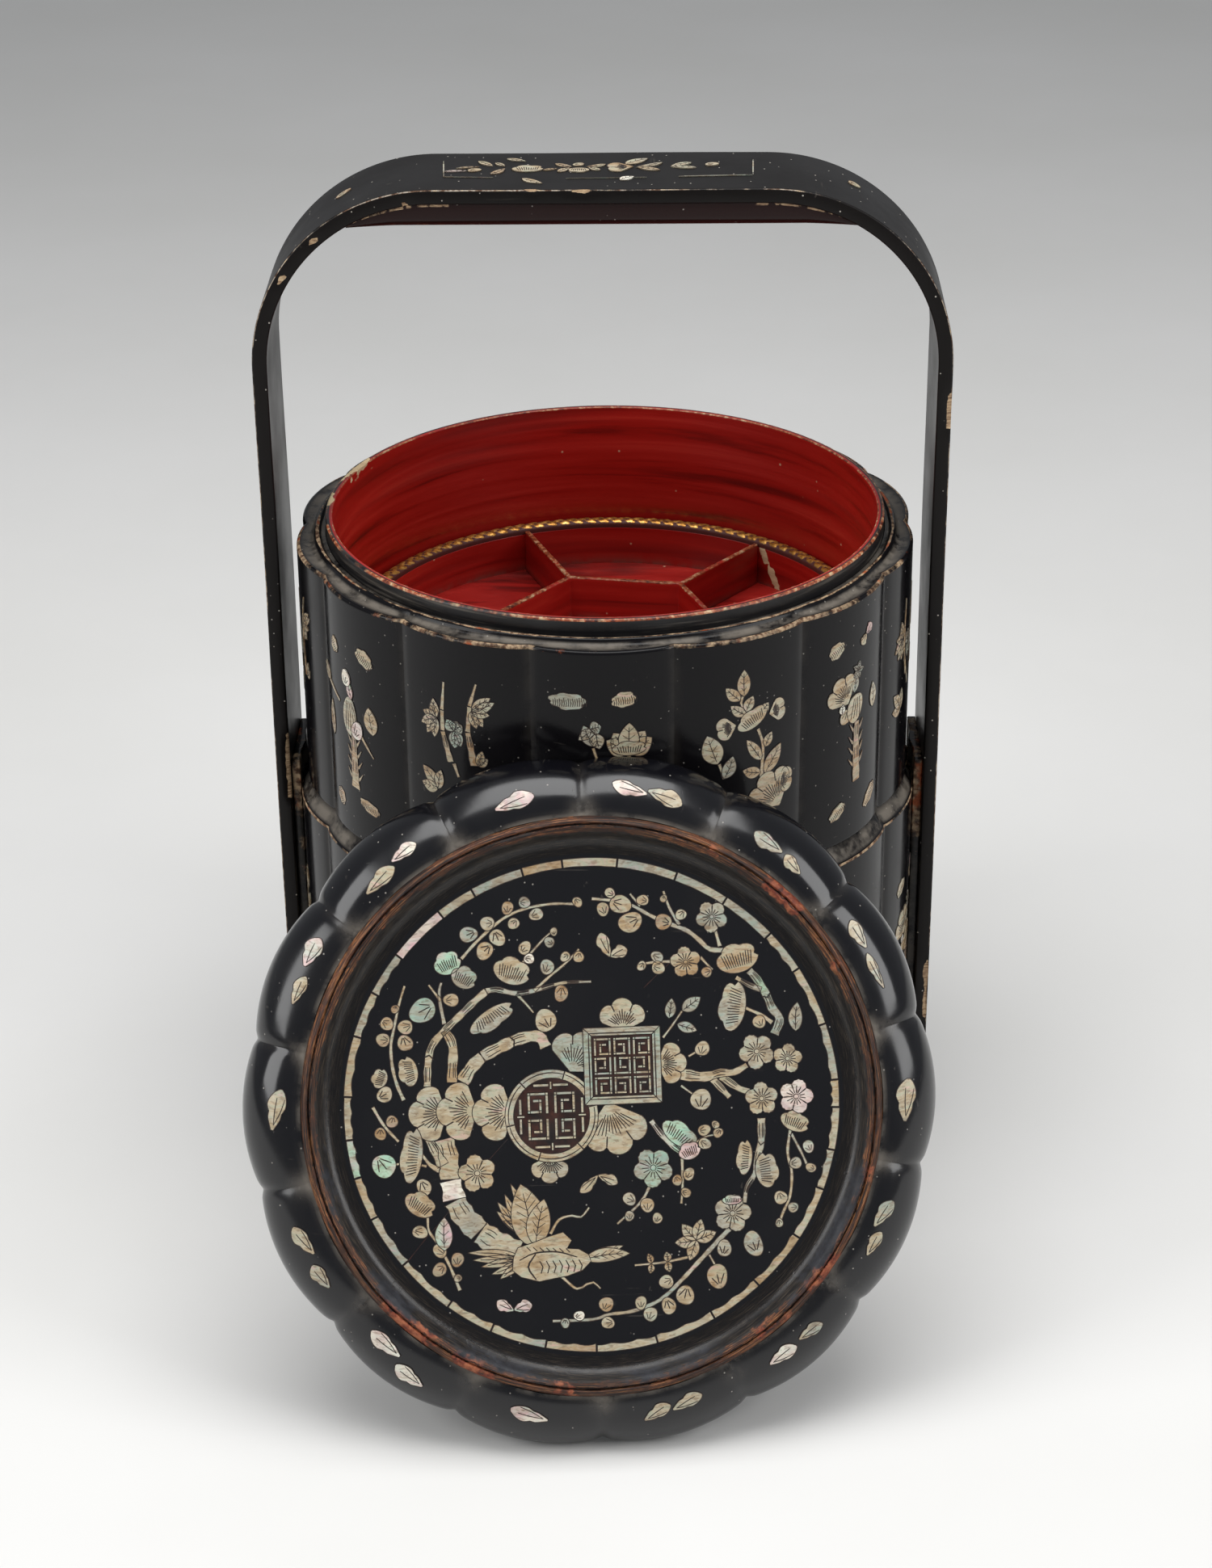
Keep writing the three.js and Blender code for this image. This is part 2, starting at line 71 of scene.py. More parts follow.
# Radii and levels of the basket
LINER_BORE = 116.8
LINER_OUT = 119.8
WALL_BORE = 120.1
TIER = 133.0
CONTAINER = 136.6
PLINTH = 148.5
PLINTH_TOP = 18.0
SEAM = 184.0
SHOULDER = 294.4
COLLAR = 302.5
HANDLE_TOP = 449.5
HANDLE_SIDE = 144.8
STRIP = 6.2
STRIP_DEPTH = 51.7
CORNER = 76.0
STRAIGHT = HANDLE_SIDE - CORNER
SPRINGING = HANDLE_TOP - CORNER
CONTAINER_WALL_TOP = 174.0
CONTAINER_CROZE = (22, 27)
CONTAINER_COLLAR_RISE = 8.1
TIER_WALL_TOP = 290.0
TIER_CROZE = (192.6, 197.6)
TIER_FOOT_BORE = 120.3
CROZE_DEPTH = 6.0
TRAY_WALL = (107.4, 111.4)
TRAY_FLOOR_TOP = 228.5
TRAY_WALL_TOP = 246.5
TRAY_SHIFT = 1.5
TRAY_CUTS = (230.5, 232.5, 246.2)

# The lid, in its own frame: the face looks along Z, and Y is up the slope
LID = 139.5
LID_RIM_TOP = 22.0
LID_SWEEP = 24.0
LID_SHARE_LOSS = 0.78
LID_SINK = 0.42
LID_PANEL = 115.2
PANEL_UNDERSIDE = 12.52
PANEL_MIDDLE = 14.52
PANEL_TOP = 16.52
RIDGE_TOP = 24.5
RIDGE_FOOT = 100.2
RIDGE_WIDTH = 15.2
LID_NORMAL = Vector((0.06296117, -0.90038663, 0.4305111)).normalized()
LID_ACROSS = Vector((-LID_NORMAL.y, LID_NORMAL.x, 0)).normalized()
LID_UP = LID_NORMAL.cross(LID_ACROSS)
panel_low, panel_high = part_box("lid_panel")
LID_ORIGIN = (panel_low + panel_high) / 2 / MM - LID_NORMAL * PANEL_MIDDLE
LID_TURN = np.array((LID_ACROSS, LID_UP, LID_NORMAL))

# Inlay: the width of the strips that plates are cut into on round forms, and how far the
# container's pictures lie below the upper tier's
ROUND_SPLIT = 2.5
HANDLE_SPLIT = 6.0
PICTURE_DROP = 138.0

# How the lacquer wears: how much a worn edge counts, and from where on a layer shows
WEAR_SHARE = 0.8
WEAR_START = 1.42

draw = random.Random(11)


# Camera, lights and floor


def camera_axes():
    level = math.cos(CAMERA_PITCH)
    forward = Vector((math.sin(CAMERA_YAW) * level, math.cos(CAMERA_YAW) * level, -math.sin(CAMERA_PITCH)))
    right = Vector((math.cos(CAMERA_YAW), -math.sin(CAMERA_YAW), 0))
    up = right.cross(forward)
    turned_right = right * math.cos(CAMERA_ROLL) + up * math.sin(CAMERA_ROLL)
    turned_up = up * math.cos(CAMERA_ROLL) - right * math.sin(CAMERA_ROLL)
    return turned_right, turned_up, forward


def add_camera():
    right, up, forward = camera_axes()
    lens = bpy.data.cameras.new("camera")
    lens.lens = LENS
    lens.sensor_width = 36
    lens.clip_start = 0.05
    lens.clip_end = 60
    eye = bpy.data.objects.new("camera", lens)
    bpy.context.scene.collection.objects.link(eye)
    turn = Matrix((right, up, -forward)).transposed()
    eye.matrix_world = Matrix.Translation(CAMERA_PLACE * MM) @ turn.to_4x4()
    bpy.context.scene.camera = eye


def add_lamp(name, place, target, width, height, power):
    lamp = bpy.data.lights.new(name, "AREA")
    lamp.shape = "RECTANGLE"
    lamp.size = width
    lamp.size_y = height
    lamp.energy = power
    holder = bpy.data.objects.new(name, lamp)
    bpy.context.scene.collection.objects.link(holder)
    holder.location = place
    away = Vector(place) - Vector(target)
    holder.rotation_euler = away.to_track_quat("Z", "Y").to_euler()


def add_studio():
    world = bpy.data.worlds.new("studio")
    bpy.context.scene.world = world
    world.use_nodes = True
    sky = world.node_tree.nodes["Background"]
    sky.inputs["Color"].default_value = (0.93, 0.96, 1.0, 1)
    sky.inputs["Strength"].default_value = 0.3
    middle = (0, -0.05, 0.22)
    add_lamp("overhead", (0.0, -0.2, 1.8), middle, 1.5, 1.1, 25)
    add_lamp("left_box", (-1.35, -0.75, 0.95), middle, 0.8, 1.2, 14)
    add_lamp("right_box", (1.35, -0.75, 0.95), middle, 0.8, 1.2, 14)
    bpy.context.scene.view_settings.view_transform = "Standard"


# Materials: each method of a Paint adds one node and gives its output


class Paint:
    def __init__(self, name):
        self.material = bpy.data.materials.new(name)
        self.material.use_nodes = True
        self.tree = self.material.node_tree
        self.tree.nodes.clear()
        self.shader = self.tree.nodes.new("ShaderNodeBsdfPrincipled")
        out = self.tree.nodes.new("ShaderNodeOutputMaterial")
        self.tree.links.new(self.shader.outputs[0], out.inputs[0])

    def plug(self, socket, value):
        if isinstance(value, bpy.types.NodeSocket):
            self.tree.links.new(value, socket)
        else:
            socket.default_value = value

    def node(self, kind, inputs, output=0, **settings):
        made = self.tree.nodes.new("ShaderNode" + kind)
        for key, value in settings.items():
            setattr(made, key, value)
        for key, value in inputs.items():
            self.plug(made.inputs[key], value)
        return made.outputs[output]

    def place(self, stretch=(1, 1, 1), turn=(0, 0, 0)):
        here = self.node("TexCoord", {}, "Object")
        return self.node("Mapping", {"Vector": here, "Scale": stretch, "Rotation": turn})

    def mark(self, name, output="Fac"):
        return self.node("Attribute", {}, output, attribute_name=name)

    def noise(self, where, scale, detail=3, rough=0.5, bend=0.0):
        inputs = {"Vector": where, "Scale": scale, "Detail": detail, "Roughness": rough, "Distortion": bend}
        return self.node("TexNoise", inputs, "Fac")

    def math(self, operation, a, b=0.0):
        return self.node("Math", {0: a, 1: b}, operation=operation)

    def times(self, a, b):
        return self.math("MULTIPLY", a, b)

    def plus(self, a, b):
        return self.math("ADD", a, b)

    def less(self, a, b):
        return self.math("SUBTRACT", a, b)

    def most(self, a, b):
        return self.math("MAXIMUM", a, b)

    def least(self, a, b):
        return self.math("MINIMUM", a, b)

    def step(self, value, low, high, to_low=0.0, to_high=1.0):
        inputs = {"Value": value, "From Min": low, "From Max": high, "To Min": to_low, "To Max": to_high}
        return self.node("MapRange", inputs, interpolation_type="SMOOTHSTEP")

    def blend(self, share, a, b):
        made = self.tree.nodes.new("ShaderNodeMix")
        made.data_type = "RGBA"
        self.plug(made.inputs[0], share)
        self.plug(made.inputs[6], a)
        self.plug(made.inputs[7], b)
        return made.outputs[2]

    def ramp(self, value, *stops):
        """Each stop is a place and a colour, or a place and the red, green and blue of one."""
        made = self.tree.nodes.new("ShaderNodeValToRGB")
        bar = made.color_ramp
        while len(bar.elements) < len(stops):
            bar.elements.new(0.5)
        for element, (at, *tint) in zip(bar.elements, stops):
            element.position = at
            element.color = tint[0] if len(tint) == 1 else colour(*tint)
        self.plug(made.inputs[0], value)
        return made.outputs[0]

    def bump(self, height, depth, strength=1.0, under=None):
        inputs = {"Height": height, "Distance": depth * MM, "Strength": strength}
        if under is not None:
            inputs["Normal"] = under
        return self.node("Bump", inputs)

    def finish(self, **sockets):
        for key, value in sockets.items():
            self.plug(self.shader.inputs[key.replace("_", " ").title().replace("Ior", "IOR")], value)
        return self.material


def colour(red, green, blue):
    """A colour written as it looks on a screen, 0 to 255, in linear light."""
    def linear(value):
        share = value / 255
        return share / 12.92 if share <= 0.04045 else ((share + 0.055) / 1.055) ** 2.4
    return (linear(red), linear(green), linear(blue), 1)


SOOT = colour(13, 12, 14)
BROWN = colour(52, 33, 24)
RUST = colour(150, 74, 40)
STRAW = colour(186, 160, 124)
DUST = colour(112, 105, 96)
BARE_WOOD = colour(214, 192, 150)
SPECK = colour(184, 178, 168)
# The pale grey-beige of rubbed lacquer edges: a worn layer, and partly a painted highlight along the edge.
WORN_EDGE_AND_HIGHLIGHT = colour(146, 124, 100)


def specks(paint, where, scale, size, share):
    """Small round spots on a few of the cells of a cell pattern."""
    cells = paint.tree.nodes.new("ShaderNodeTexVoronoi")
    paint.plug(cells.inputs["Vector"], where)
    cells.inputs["Scale"].default_value = scale
    near = paint.step(cells.outputs["Distance"], size, size * 0.4)
    few = paint.math("GREATER_THAN", paint.node("SeparateColor", {0: cells.outputs["Color"]}), 1 - share)
    return paint.times(near, few)


def scratches(paint, stretch, turn, cover):
    """Fine lines along one direction, on some places only."""
    lines = paint.noise(paint.place(stretch, turn), 1, 2, 0.5, 0.15)
    where = paint.noise(paint.place(), 38, 2)
    sharp = paint.step(lines, 0.70, 0.74)
    return paint.times(sharp, paint.step(where, cover, cover + 0.08))


def rubbed_places(paint, coarse, broad, end):
    """Where the edges marked as worn are rubbed through, in broken runs."""
    here = paint.place()
    broken = paint.plus(paint.times(paint.noise(here, *coarse), 0.6), paint.noise(here, *broad))
    return paint.step(paint.plus(paint.times(paint.mark("wear"), WEAR_SHARE), broken), WEAR_START, end)


def lacquer(name, base, edge_wear_and_highlight, gloss=0.12, dusty=0.35, shine=0.17, under=RUST):
    """Old lacquer: nearly black, with dust, fine scratches and layers showing at worn edges, whose pale
    grey-beige is partly a painted highlight.
    """
    paint = Paint(name)
    here = paint.place()
    cloud = paint.noise(here, 22, 4, 0.55)
    fine = paint.noise(here, 420, 3, 0.6)
    rubbed = rubbed_places(paint, (150, 4, 0.65), (17, 3, 0.6), 1.56)
    # The colour of rubbed-through edges: worn layers of lacquer, partly a painted highlight.
    layer = paint.ramp(
        paint.noise(here, 330, 3, 0.6), (0.32, BROWN), (0.44, 92, 68, 50), (0.54, edge_wear_and_highlight), (0.75, STRAW)
    )
    layer = paint.blend(paint.step(paint.noise(here, 70, 3), 0.58, 0.66), layer, under)
    ground = paint.blend(paint.step(cloud, 0.5, 0.8, 0, 0.4), base, colour(20, 18, 18))
    lines = paint.most(
        scratches(paint, (20, 300, 600), (0.3, 0.2, 0.5), 0.52),
        scratches(paint, (500, 24, 260), (0.1, 0.6, -0.4), 0.55),
    )
    film = paint.plus(paint.mark("dust"), paint.times(lines, 0.16))
    film = paint.times(film, paint.step(paint.noise(here, 90, 4, 0.6), 0.3, 0.62))
    spots = specks(paint, here, 330, 0.15, 0.22)
    spots = paint.times(spots, dusty)
    film = paint.least(film, 0.85)
    tint = paint.blend(spots, paint.blend(film, ground, DUST), SPECK)
    film = paint.most(film, spots)
    tint = paint.blend(rubbed, tint, layer)
    wood = paint.noise(paint.place((1, 1, 8)), 210, 4, 0.6)
    wood = paint.ramp(wood, (0.3, 78, 54, 40), (0.48, 146, 120, 94), (0.7, 192, 168, 134))
    chipped = paint.step(paint.plus(paint.mark("bare"), paint.times(fine, 0.35)), 0.62, 0.7)
    tint = paint.blend(chipped, tint, wood)
    rough = paint.plus(paint.step(cloud, 0.3, 0.8, gloss, gloss + 0.14), paint.times(film, 0.45))
    rough = paint.most(rough, paint.times(paint.most(rubbed, chipped), 0.6))
    height = paint.less(paint.times(paint.noise(here, 65, 3), 0.5), paint.times(rubbed, 0.35))
    height = paint.less(height, paint.plus(paint.times(lines, 0.08), paint.times(chipped, 0.8)))
    normal = paint.bump(fine, 0.012, 0.6, paint.bump(height, 0.16, 0.7))
    return paint.finish(base_color=tint, roughness=rough, normal=normal, specular_ior_level=shine)


def red_lacquer(name, grain, gloss=0.3):
    """Brushed red lacquer with dark strokes along the grain, rubbed places and dust in the corners."""
    paint = Paint(name)
    here = paint.place()
    strokes = paint.noise(paint.place(grain), 1, 5, 0.6, 0.4)
    broad = paint.noise(paint.place(tuple(g * 0.3 for g in grain)), 1, 3, 0.55)
    fine = paint.noise(here, 380, 3, 0.6)
    tint = paint.ramp(strokes, (0.3, 98, 12, 8), (0.44, 146, 18, 11), (0.6, 158, 22, 13), (0.75, 172, 38, 22))
    stain = paint.step(broad, 0.56, 0.72, 0, 0.8)
    tint = paint.blend(stain, tint, colour(58, 12, 9))
    grime = paint.times(paint.mark("dust"), paint.step(paint.noise(here, 110, 4, 0.65), 0.34, 0.6))
    tint = paint.blend(paint.times(grime, 0.75), tint, colour(104, 82, 70))
    rubbed = rubbed_places(paint, (170, 4, 0.6), (20, 3, 0.6), 1.6)
    edge = paint.ramp(fine, (0.35, 74, 30, 20), (0.5, RUST), (0.68, STRAW))
    tint = paint.blend(rubbed, tint, edge)
    spots = specks(paint, here, 190, 0.15, 0.07)
    tint = paint.blend(paint.times(spots, 0.8), tint, colour(196, 160, 130))
    dark = paint.blend(
        paint.step(paint.noise(paint.place((18, 18, 420)), 1, 4, 0.6), 0.5, 0.72, 0, 0.5), SOOT, DUST
    )
    tint = paint.blend(paint.mark("outside"), tint, paint.blend(rubbed, dark, edge))
    wood = paint.ramp(paint.noise(paint.place((60, 60, 500)), 1, 4, 0.6), (0.35, STRAW), (0.6, BARE_WOOD))
    chipped = paint.step(paint.plus(paint.mark("bare"), paint.times(fine, 0.3)), 0.6, 0.7)
    tint = paint.blend(chipped, tint, wood)
    rough = paint.step(strokes, 0.3, 0.8, gloss, gloss + 0.2)
    rough = paint.most(rough, paint.times(paint.most(grime, chipped), 0.65))
    normal = paint.bump(fine, 0.01, 0.5, paint.bump(strokes, 0.12, 0.6))
    return paint.finish(base_color=tint, roughness=rough, normal=normal)


def gilding():
    paint = Paint("gilt_scrolls")
    here = paint.place()
    gilt = paint.step(
        paint.plus(paint.mark("gilt"), paint.times(paint.noise(here, 260, 3, 0.6), 0.5)), 0.38, 0.62
    )
    tone = paint.ramp(paint.noise(here, 320, 3), (0.3, 120, 78, 34), (0.5, 186, 132, 58), (0.7, 226, 184, 104))
    tint = paint.blend(gilt, colour(70, 22, 14), tone)
    rough = paint.step(gilt, 0, 1, 0.6, 0.34)
    normal = paint.bump(paint.noise(here, 500, 2), 0.02, 0.6)
    return paint.finish(
        base_color=tint, metallic=paint.step(gilt, 0, 1, 0, 0.75), roughness=rough, normal=normal
    )


def shell_inlay():
    """Shell: a pale ground that runs from straw through grey to pink and green, with wavy bands."""
    paint = Paint("shell")
    bands = paint.noise(paint.place((90, 90, 330), (0.5, 0.3, 0.8)), 1, 3, 0.55, 0.8)
    soft = paint.noise(paint.place(), 70, 3)
    shift = paint.plus(paint.mark("tone"), paint.step(soft, 0.3, 0.7, -0.11, 0.11))
    ground = paint.ramp(
        shift,
        (0.0, 142, 102, 66),
        (0.18, 168, 142, 106),
        (0.36, 176, 164, 138),
        (0.5, 142, 143, 134),
        (0.62, 130, 150, 140),
        (0.74, 152, 204, 176),
        (0.86, 202, 160, 168),
        (1.0, 238, 232, 218),
    )
    sheen = paint.ramp(
        bands,
        (0.28, 104, 80, 56),
        (0.40, 160, 138, 104),
        (0.52, 190, 182, 162),
        (0.60, 150, 174, 154),
        (0.72, 216, 176, 178),
    )
    tint = paint.blend(0.38, ground, sheen)
    fine = paint.noise(paint.place((300, 300, 900), (0.4, 0.2, 0.6)), 1, 3, 0.6, 0.5)
    tint = paint.blend(paint.step(fine, 0.48, 0.7, 0, 0.6), tint, colour(104, 78, 54))
    normal = paint.bump(bands, 0.05, 0.35)
    return paint.finish(base_color=tint, roughness=paint.step(bands, 0.3, 0.7, 0.2, 0.36), normal=normal)


def mottled(name, grain, stops, sheen):
    """A soft, uneven colour with an uneven roughness."""
    paint = Paint(name)
    tint = paint.ramp(paint.noise(paint.place(), *grain), *stops)
    scale, low, high = sheen
    rough = paint.step(paint.noise(paint.place(), scale), 0.3, 0.7, low, high)
    return paint.finish(base_color=tint, roughness=rough)


def peeled_ridge():
    """The lid's rubbed ridge: layers of lacquer split along it, bright where the undercoat shows."""
    paint = Paint("peeled_ridge")
    here = paint.place()
    across = paint.mark("across")
    rust = paint.mark("rust")
    slate = paint.mark("slate")
    fine = paint.noise(here, 240, 4, 0.65)
    broad = paint.noise(here, 90, 4, 0.65)

    def along_ring(thin, long):
        """Noise drawn out round the ring, so that it runs in lines."""
        around = paint.node(
            "VectorMath", {0: paint.mark("around", "Vector"), 1: (long, long, long)}, operation="MULTIPLY"
        )
        inputs = {"X": paint.times(across, thin), "Y": 0.0, "Z": 0.0}
        shifted = paint.node("VectorMath", {0: around, 1: paint.node("CombineXYZ", inputs)}, operation="ADD")
        return paint.noise(shifted, 1, 3, 0.6)

    shade = paint.plus(across, paint.step(fine, 0.2, 0.8, -0.06, 0.06))
    crest = paint.times(paint.step(shade, 0.58, 0.63), paint.step(shade, 1.04, 0.97))
    strata = paint.ramp(
        along_ring(44, 7),
        (0.36, 15, 10, 9),
        (0.46, 42, 27, 21),
        (0.51, 124, 68, 36),
        (0.54, 22, 13, 10),
        (0.61, 164, 110, 66),
        (0.66, 30, 20, 16),
    )
    red = paint.ramp(fine, (0.36, 56, 26, 18), (0.46, 108, 48, 29), (0.6, 150, 88, 58))
    spread = paint.step(paint.plus(paint.times(rust, 0.55), broad), 0.86, 0.98)
    held = paint.step(paint.noise(here, 34, 4, 0.7), 0.42, 0.6, 0.62, 0.0)
    strata = paint.blend(held, strata, colour(17, 12, 11))
    peeled = paint.blend(spread, strata, red)
    strokes = along_ring(60, 16)
    cove = paint.ramp(strokes, (0.36, SOOT), (0.48, 25, 22, 21), (0.58, 44, 38, 33), (0.72, 76, 67, 56))
    cove = paint.blend(paint.step(shade, 0.02, 0.5, 0.75, 0.0), cove, colour(16, 14, 14))
    tint = paint.blend(crest, cove, peeled)
    grey = paint.ramp(fine, (0.3, 24, 24, 28), (0.6, 44, 45, 50), (0.8, 66, 65, 64))
    low = paint.times(paint.step(shade, 0.34, 0.5), paint.step(shade, 0.78, 0.66))
    film = paint.step(paint.plus(paint.times(slate, 0.5), broad), 0.78, 0.98)
    tint = paint.blend(paint.times(low, film), tint, grey)
    crack = paint.times(
        paint.step(paint.math("ABSOLUTE", paint.less(shade, 0.765)), 0.035, 0.012), paint.step(broad, 0.38, 0.5)
    )
    tint = paint.blend(paint.times(crack, 0.9), tint, colour(14, 9, 8))
    rough = paint.step(shade, 0.3, 0.62, 0.24, 0.6)
    height = paint.less(paint.plus(paint.times(fine, 0.4), paint.times(spread, 0.3)), crack)
    normal = paint.bump(height, 0.25, 0.8)
    return paint.finish(base_color=tint, roughness=rough, normal=normal, specular_ior_level=0.35)


def dark_wood(name, light, dark):
    """Plain wood with a grain along Z, as the hidden dowels and the base board have."""
    paint = Paint(name)
    grain = paint.noise(paint.place((260, 260, 14)), 1, 4, 0.6, 0.4)
    tint = paint.ramp(grain, (0.3, dark), (0.7, light))
    normal = paint.bump(grain, 0.08, 0.6)
    return paint.finish(base_color=tint, roughness=paint.step(grain, 0.3, 0.7, 0.5, 0.65), normal=normal)


BLACK = lacquer("black_lacquer", SOOT, WORN_EDGE_AND_HIGHLIGHT)
LID_BLACK = lacquer("lid_lacquer", colour(10, 10, 14), WORN_EDGE_AND_HIGHLIGHT, dusty=0.5, shine=0.5)
# The handle's pale grey worn-edge and undercoat colours are worn layers, partly a painted highlight along its
# edges.
HANDLE_BLACK = lacquer(
    "handle_lacquer", colour(16, 13, 12), colour(150, 140, 128),
    gloss=0.3, dusty=0.8, shine=0.16, under=colour(128, 112, 94),
)
# The grip's black is tinted dark red: a painted dark red reflection. Its pale worn-edge colour is partly a
# painted highlight.
GRIP_LACQUER_RED_REFLECTION = lacquer("grip_lacquer_red_reflection", colour(27, 9, 8), colour(150, 132, 112), gloss=0.16, dusty=0.4, shine=0.22)
RED = red_lacquer("red_lacquer", (7, 7, 150))
RED_FLAT = red_lacquer("red_lacquer_flat", (26, 120, 120), gloss=0.38)
GILT = gilding()
SHELL = shell_inlay()
ENGRAVED = mottled("engraved_line", (300, 2), ((0.35, 20, 13, 10), (0.7, 52, 35, 25)), (90, 0.5, 0.7))
FRET_STOPS = ((0.35, 22, 15, 14), (0.6, 52, 28, 22), (0.8, 78, 44, 32))
FRET_GROUND = mottled("fret_ground", (160, 4, 0.6), FRET_STOPS, (90, 0.25, 0.45))
FLOOR_PAPER = mottled("pale_floor", (3, 4), ((0.3, 216, 215, 212), (0.7, 221, 220, 218)), (60, 0.75, 0.85))
PEELED = peeled_ridge()
WOOD = dark_wood("dowel_wood", colour(150, 112, 70), colour(98, 66, 38))
BOARD = dark_wood("base_board_lacquer", colour(46, 38, 34), colour(20, 17, 16))


# Shaping


def clear_selection():
    if bpy.context.object and bpy.context.object.mode != "OBJECT":
        bpy.ops.object.mode_set(mode="OBJECT")
    bpy.ops.object.select_all(action="DESELECT")


def make_active(piece):
    clear_selection()
    piece.select_set(True)
    bpy.context.view_layer.objects.active = piece


def coordinates(mesh):
    places = np.zeros(len(mesh.vertices) * 3)
    mesh.vertices.foreach_get("co", places)
    return places.reshape(-1, 3)


def set_coordinates(mesh, places):
    mesh.vertices.foreach_set("co", np.asarray(places, np.float32).ravel())
    mesh.update()


def mark(mesh, name, values):
    attribute = mesh.attributes.get(name) or mesh.attributes.new(name, "FLOAT", "POINT")
    attribute.data.foreach_set("value", np.asarray(values, np.float32))


def marked(mesh, name):
    values = np.zeros(len(mesh.vertices), np.float32)
    if name in mesh.attributes:
        mesh.attributes[name].data.foreach_get("value", values)
    return values.astype(float)


def smooth(piece, angle=38):
    make_active(piece)
    bpy.ops.object.shade_smooth_by_angle(angle=math.radians(angle))


def paint_piece(piece, *materials):
    piece.data.materials.clear()
    for material in materials:
        piece.data.materials.append(material)


def fit(piece, body, slot, *nodes):
    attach(piece, body)
    if nodes:
        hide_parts(*nodes)
    return piece


def complete(piece, material, body, slot, node, angle=38):
    """Smooths, paints and fits a finished piece in place of its node."""
    smooth(piece, angle)
    paint_piece(piece, material)
    return fit(piece, body, slot, node)


def open_mesh():
    bpy.ops.object.mode_set(mode="EDIT")
    bpy.ops.mesh.select_all(action="SELECT")


def close_mesh():
    """Turns all faces outwards and leaves the mesh."""
    bpy.ops.mesh.select_all(action="SELECT")
    bpy.ops.mesh.normals_make_consistent(inside=False)
    bpy.ops.object.mode_set(mode="OBJECT")


def from_parts(name, points, faces):
    """An object made of points in millimetres and of faces between them."""
    mesh = bpy.data.meshes.new(name)
    mesh.from_pydata([tuple(p) for p in np.array(points) * MM], [], faces)
    piece = bpy.data.objects.new(name, mesh)
    bpy.context.scene.collection.objects.link(piece)
    return piece


# A point of a turned section: its place, its share of the lobes' dip along the radius and along
# the height, how worn it is, how dusty, and any other mark
Point = namedtuple("Point", "r z lobe sink wear dust other", defaults=(0.0, 0.0, 0.0, 0.0, 0.0))


def corner(before, here, after, radius, wear, hold=0.5, steps=4):
    """A rounded corner of a section: an arc with worn points, and unworn points beside it."""
    a, b, c = (np.array([p.r, p.z]) for p in (before, here, after))
    one, two = a - b, c - b
    long_one, long_two = np.linalg.norm(one), np.linalg.norm(two)
    one, two = one / long_one, two / long_two
    half = math.acos(max(-1, min(1, float(one @ two)))) / 2
    reach = min(radius / math.tan(half), 0.45 * min(long_one, long_two))
    radius = reach * math.tan(half)
    centre = b + (one + two) / np.linalg.norm(one + two) * radius / math.sin(half)
    points = []
    for share in np.linspace(0, 1, steps + 1):
        start, end = b + one * reach, b + two * reach
        along = start * (1 - share) + end * share - centre
        place = centre + along / np.linalg.norm(along) * radius
        points.append(here._replace(r=float(place[0]), z=float(place[1]), wear=wear))
    held = []
    for way, length in ((one, long_one), (two, long_two)):
        place = b + way * min(reach + hold, 0.48 * length)
        held.append(here._replace(r=float(place[0]), z=float(place[1]), wear=0.0))
    return [held[0], *points, held[1]]


def rounded(points, radii, wears):
    """A closed section with its corners rounded: radius 0 keeps a point as it is."""
    made = []
    for k, (point, radius, wear) in enumerate(zip(points, radii, wears)):
        if radius == 0:
            made.append(point)
        else:
            made += corner(points[k - 1], point, points[(k + 1) % len(points)], radius, wear)
    return made


def turned(name, section, steps=ROUND_STEPS):
    """A closed section, spun round the Z axis from the front."""
    clear_selection()
    bpy.ops.mesh.primitive_circle_add(vertices=len(section), radius=1)
    piece = bpy.context.object
    piece.name = piece.data.name = name
    for vertex, point in zip(piece.data.vertices, section):
        vertex.co = (0, -point.r * MM, point.z * MM)
    for key in ("lobe", "sink", "wear", "dust", "other"):
        mark(piece.data, key, [getattr(point, key) for point in section])
    open_mesh()
    bpy.ops.mesh.spin(steps=steps, angle=2 * math.pi, center=(0, 0, 0), axis=(0, 0, 1))
    bpy.ops.mesh.select_all(action="SELECT")
    bpy.ops.mesh.remove_doubles(threshold=1e-6)
    bpy.ops.mesh.delete_loose()
    close_mesh()
    return piece


def round_places(places):
    """The radius of places, and their angle from the front."""
    return np.hypot(places[:, 0], places[:, 1]), np.arctan2(places[:, 0], -places[:, 1])


def lobe_dip(angle, crest, turn=0.0):
    """How far a lobed outline lies inside its crests' circle, at an angle from the front."""
    groove = crest - GROOVE_DEPTH
    sagitta = crest - groove * math.cos(HALF_LOBE)
    half_chord = groove * math.sin(HALF_LOBE)
    arc = (half_chord ** 2 + sagitta ** 2) / (2 * sagitta)
    centre = crest - arc
    angle = angle - turn
    from_crest = angle - np.round(angle / (2 * HALF_LOBE)) * 2 * HALF_LOBE
    return crest - centre * np.cos(from_crest) - np.sqrt(arc ** 2 - (centre * np.sin(from_crest)) ** 2)


def groove_share(angle, turn=0.0, width=0.07):
    """1 in the bottom of a groove, and 0 a little away from it."""
    angle = angle - turn
    across = np.abs(angle - np.round(angle / (2 * HALF_LOBE)) * 2 * HALF_LOBE) / HALF_LOBE
    return np.exp(-(((1 - across) / width) ** 2))


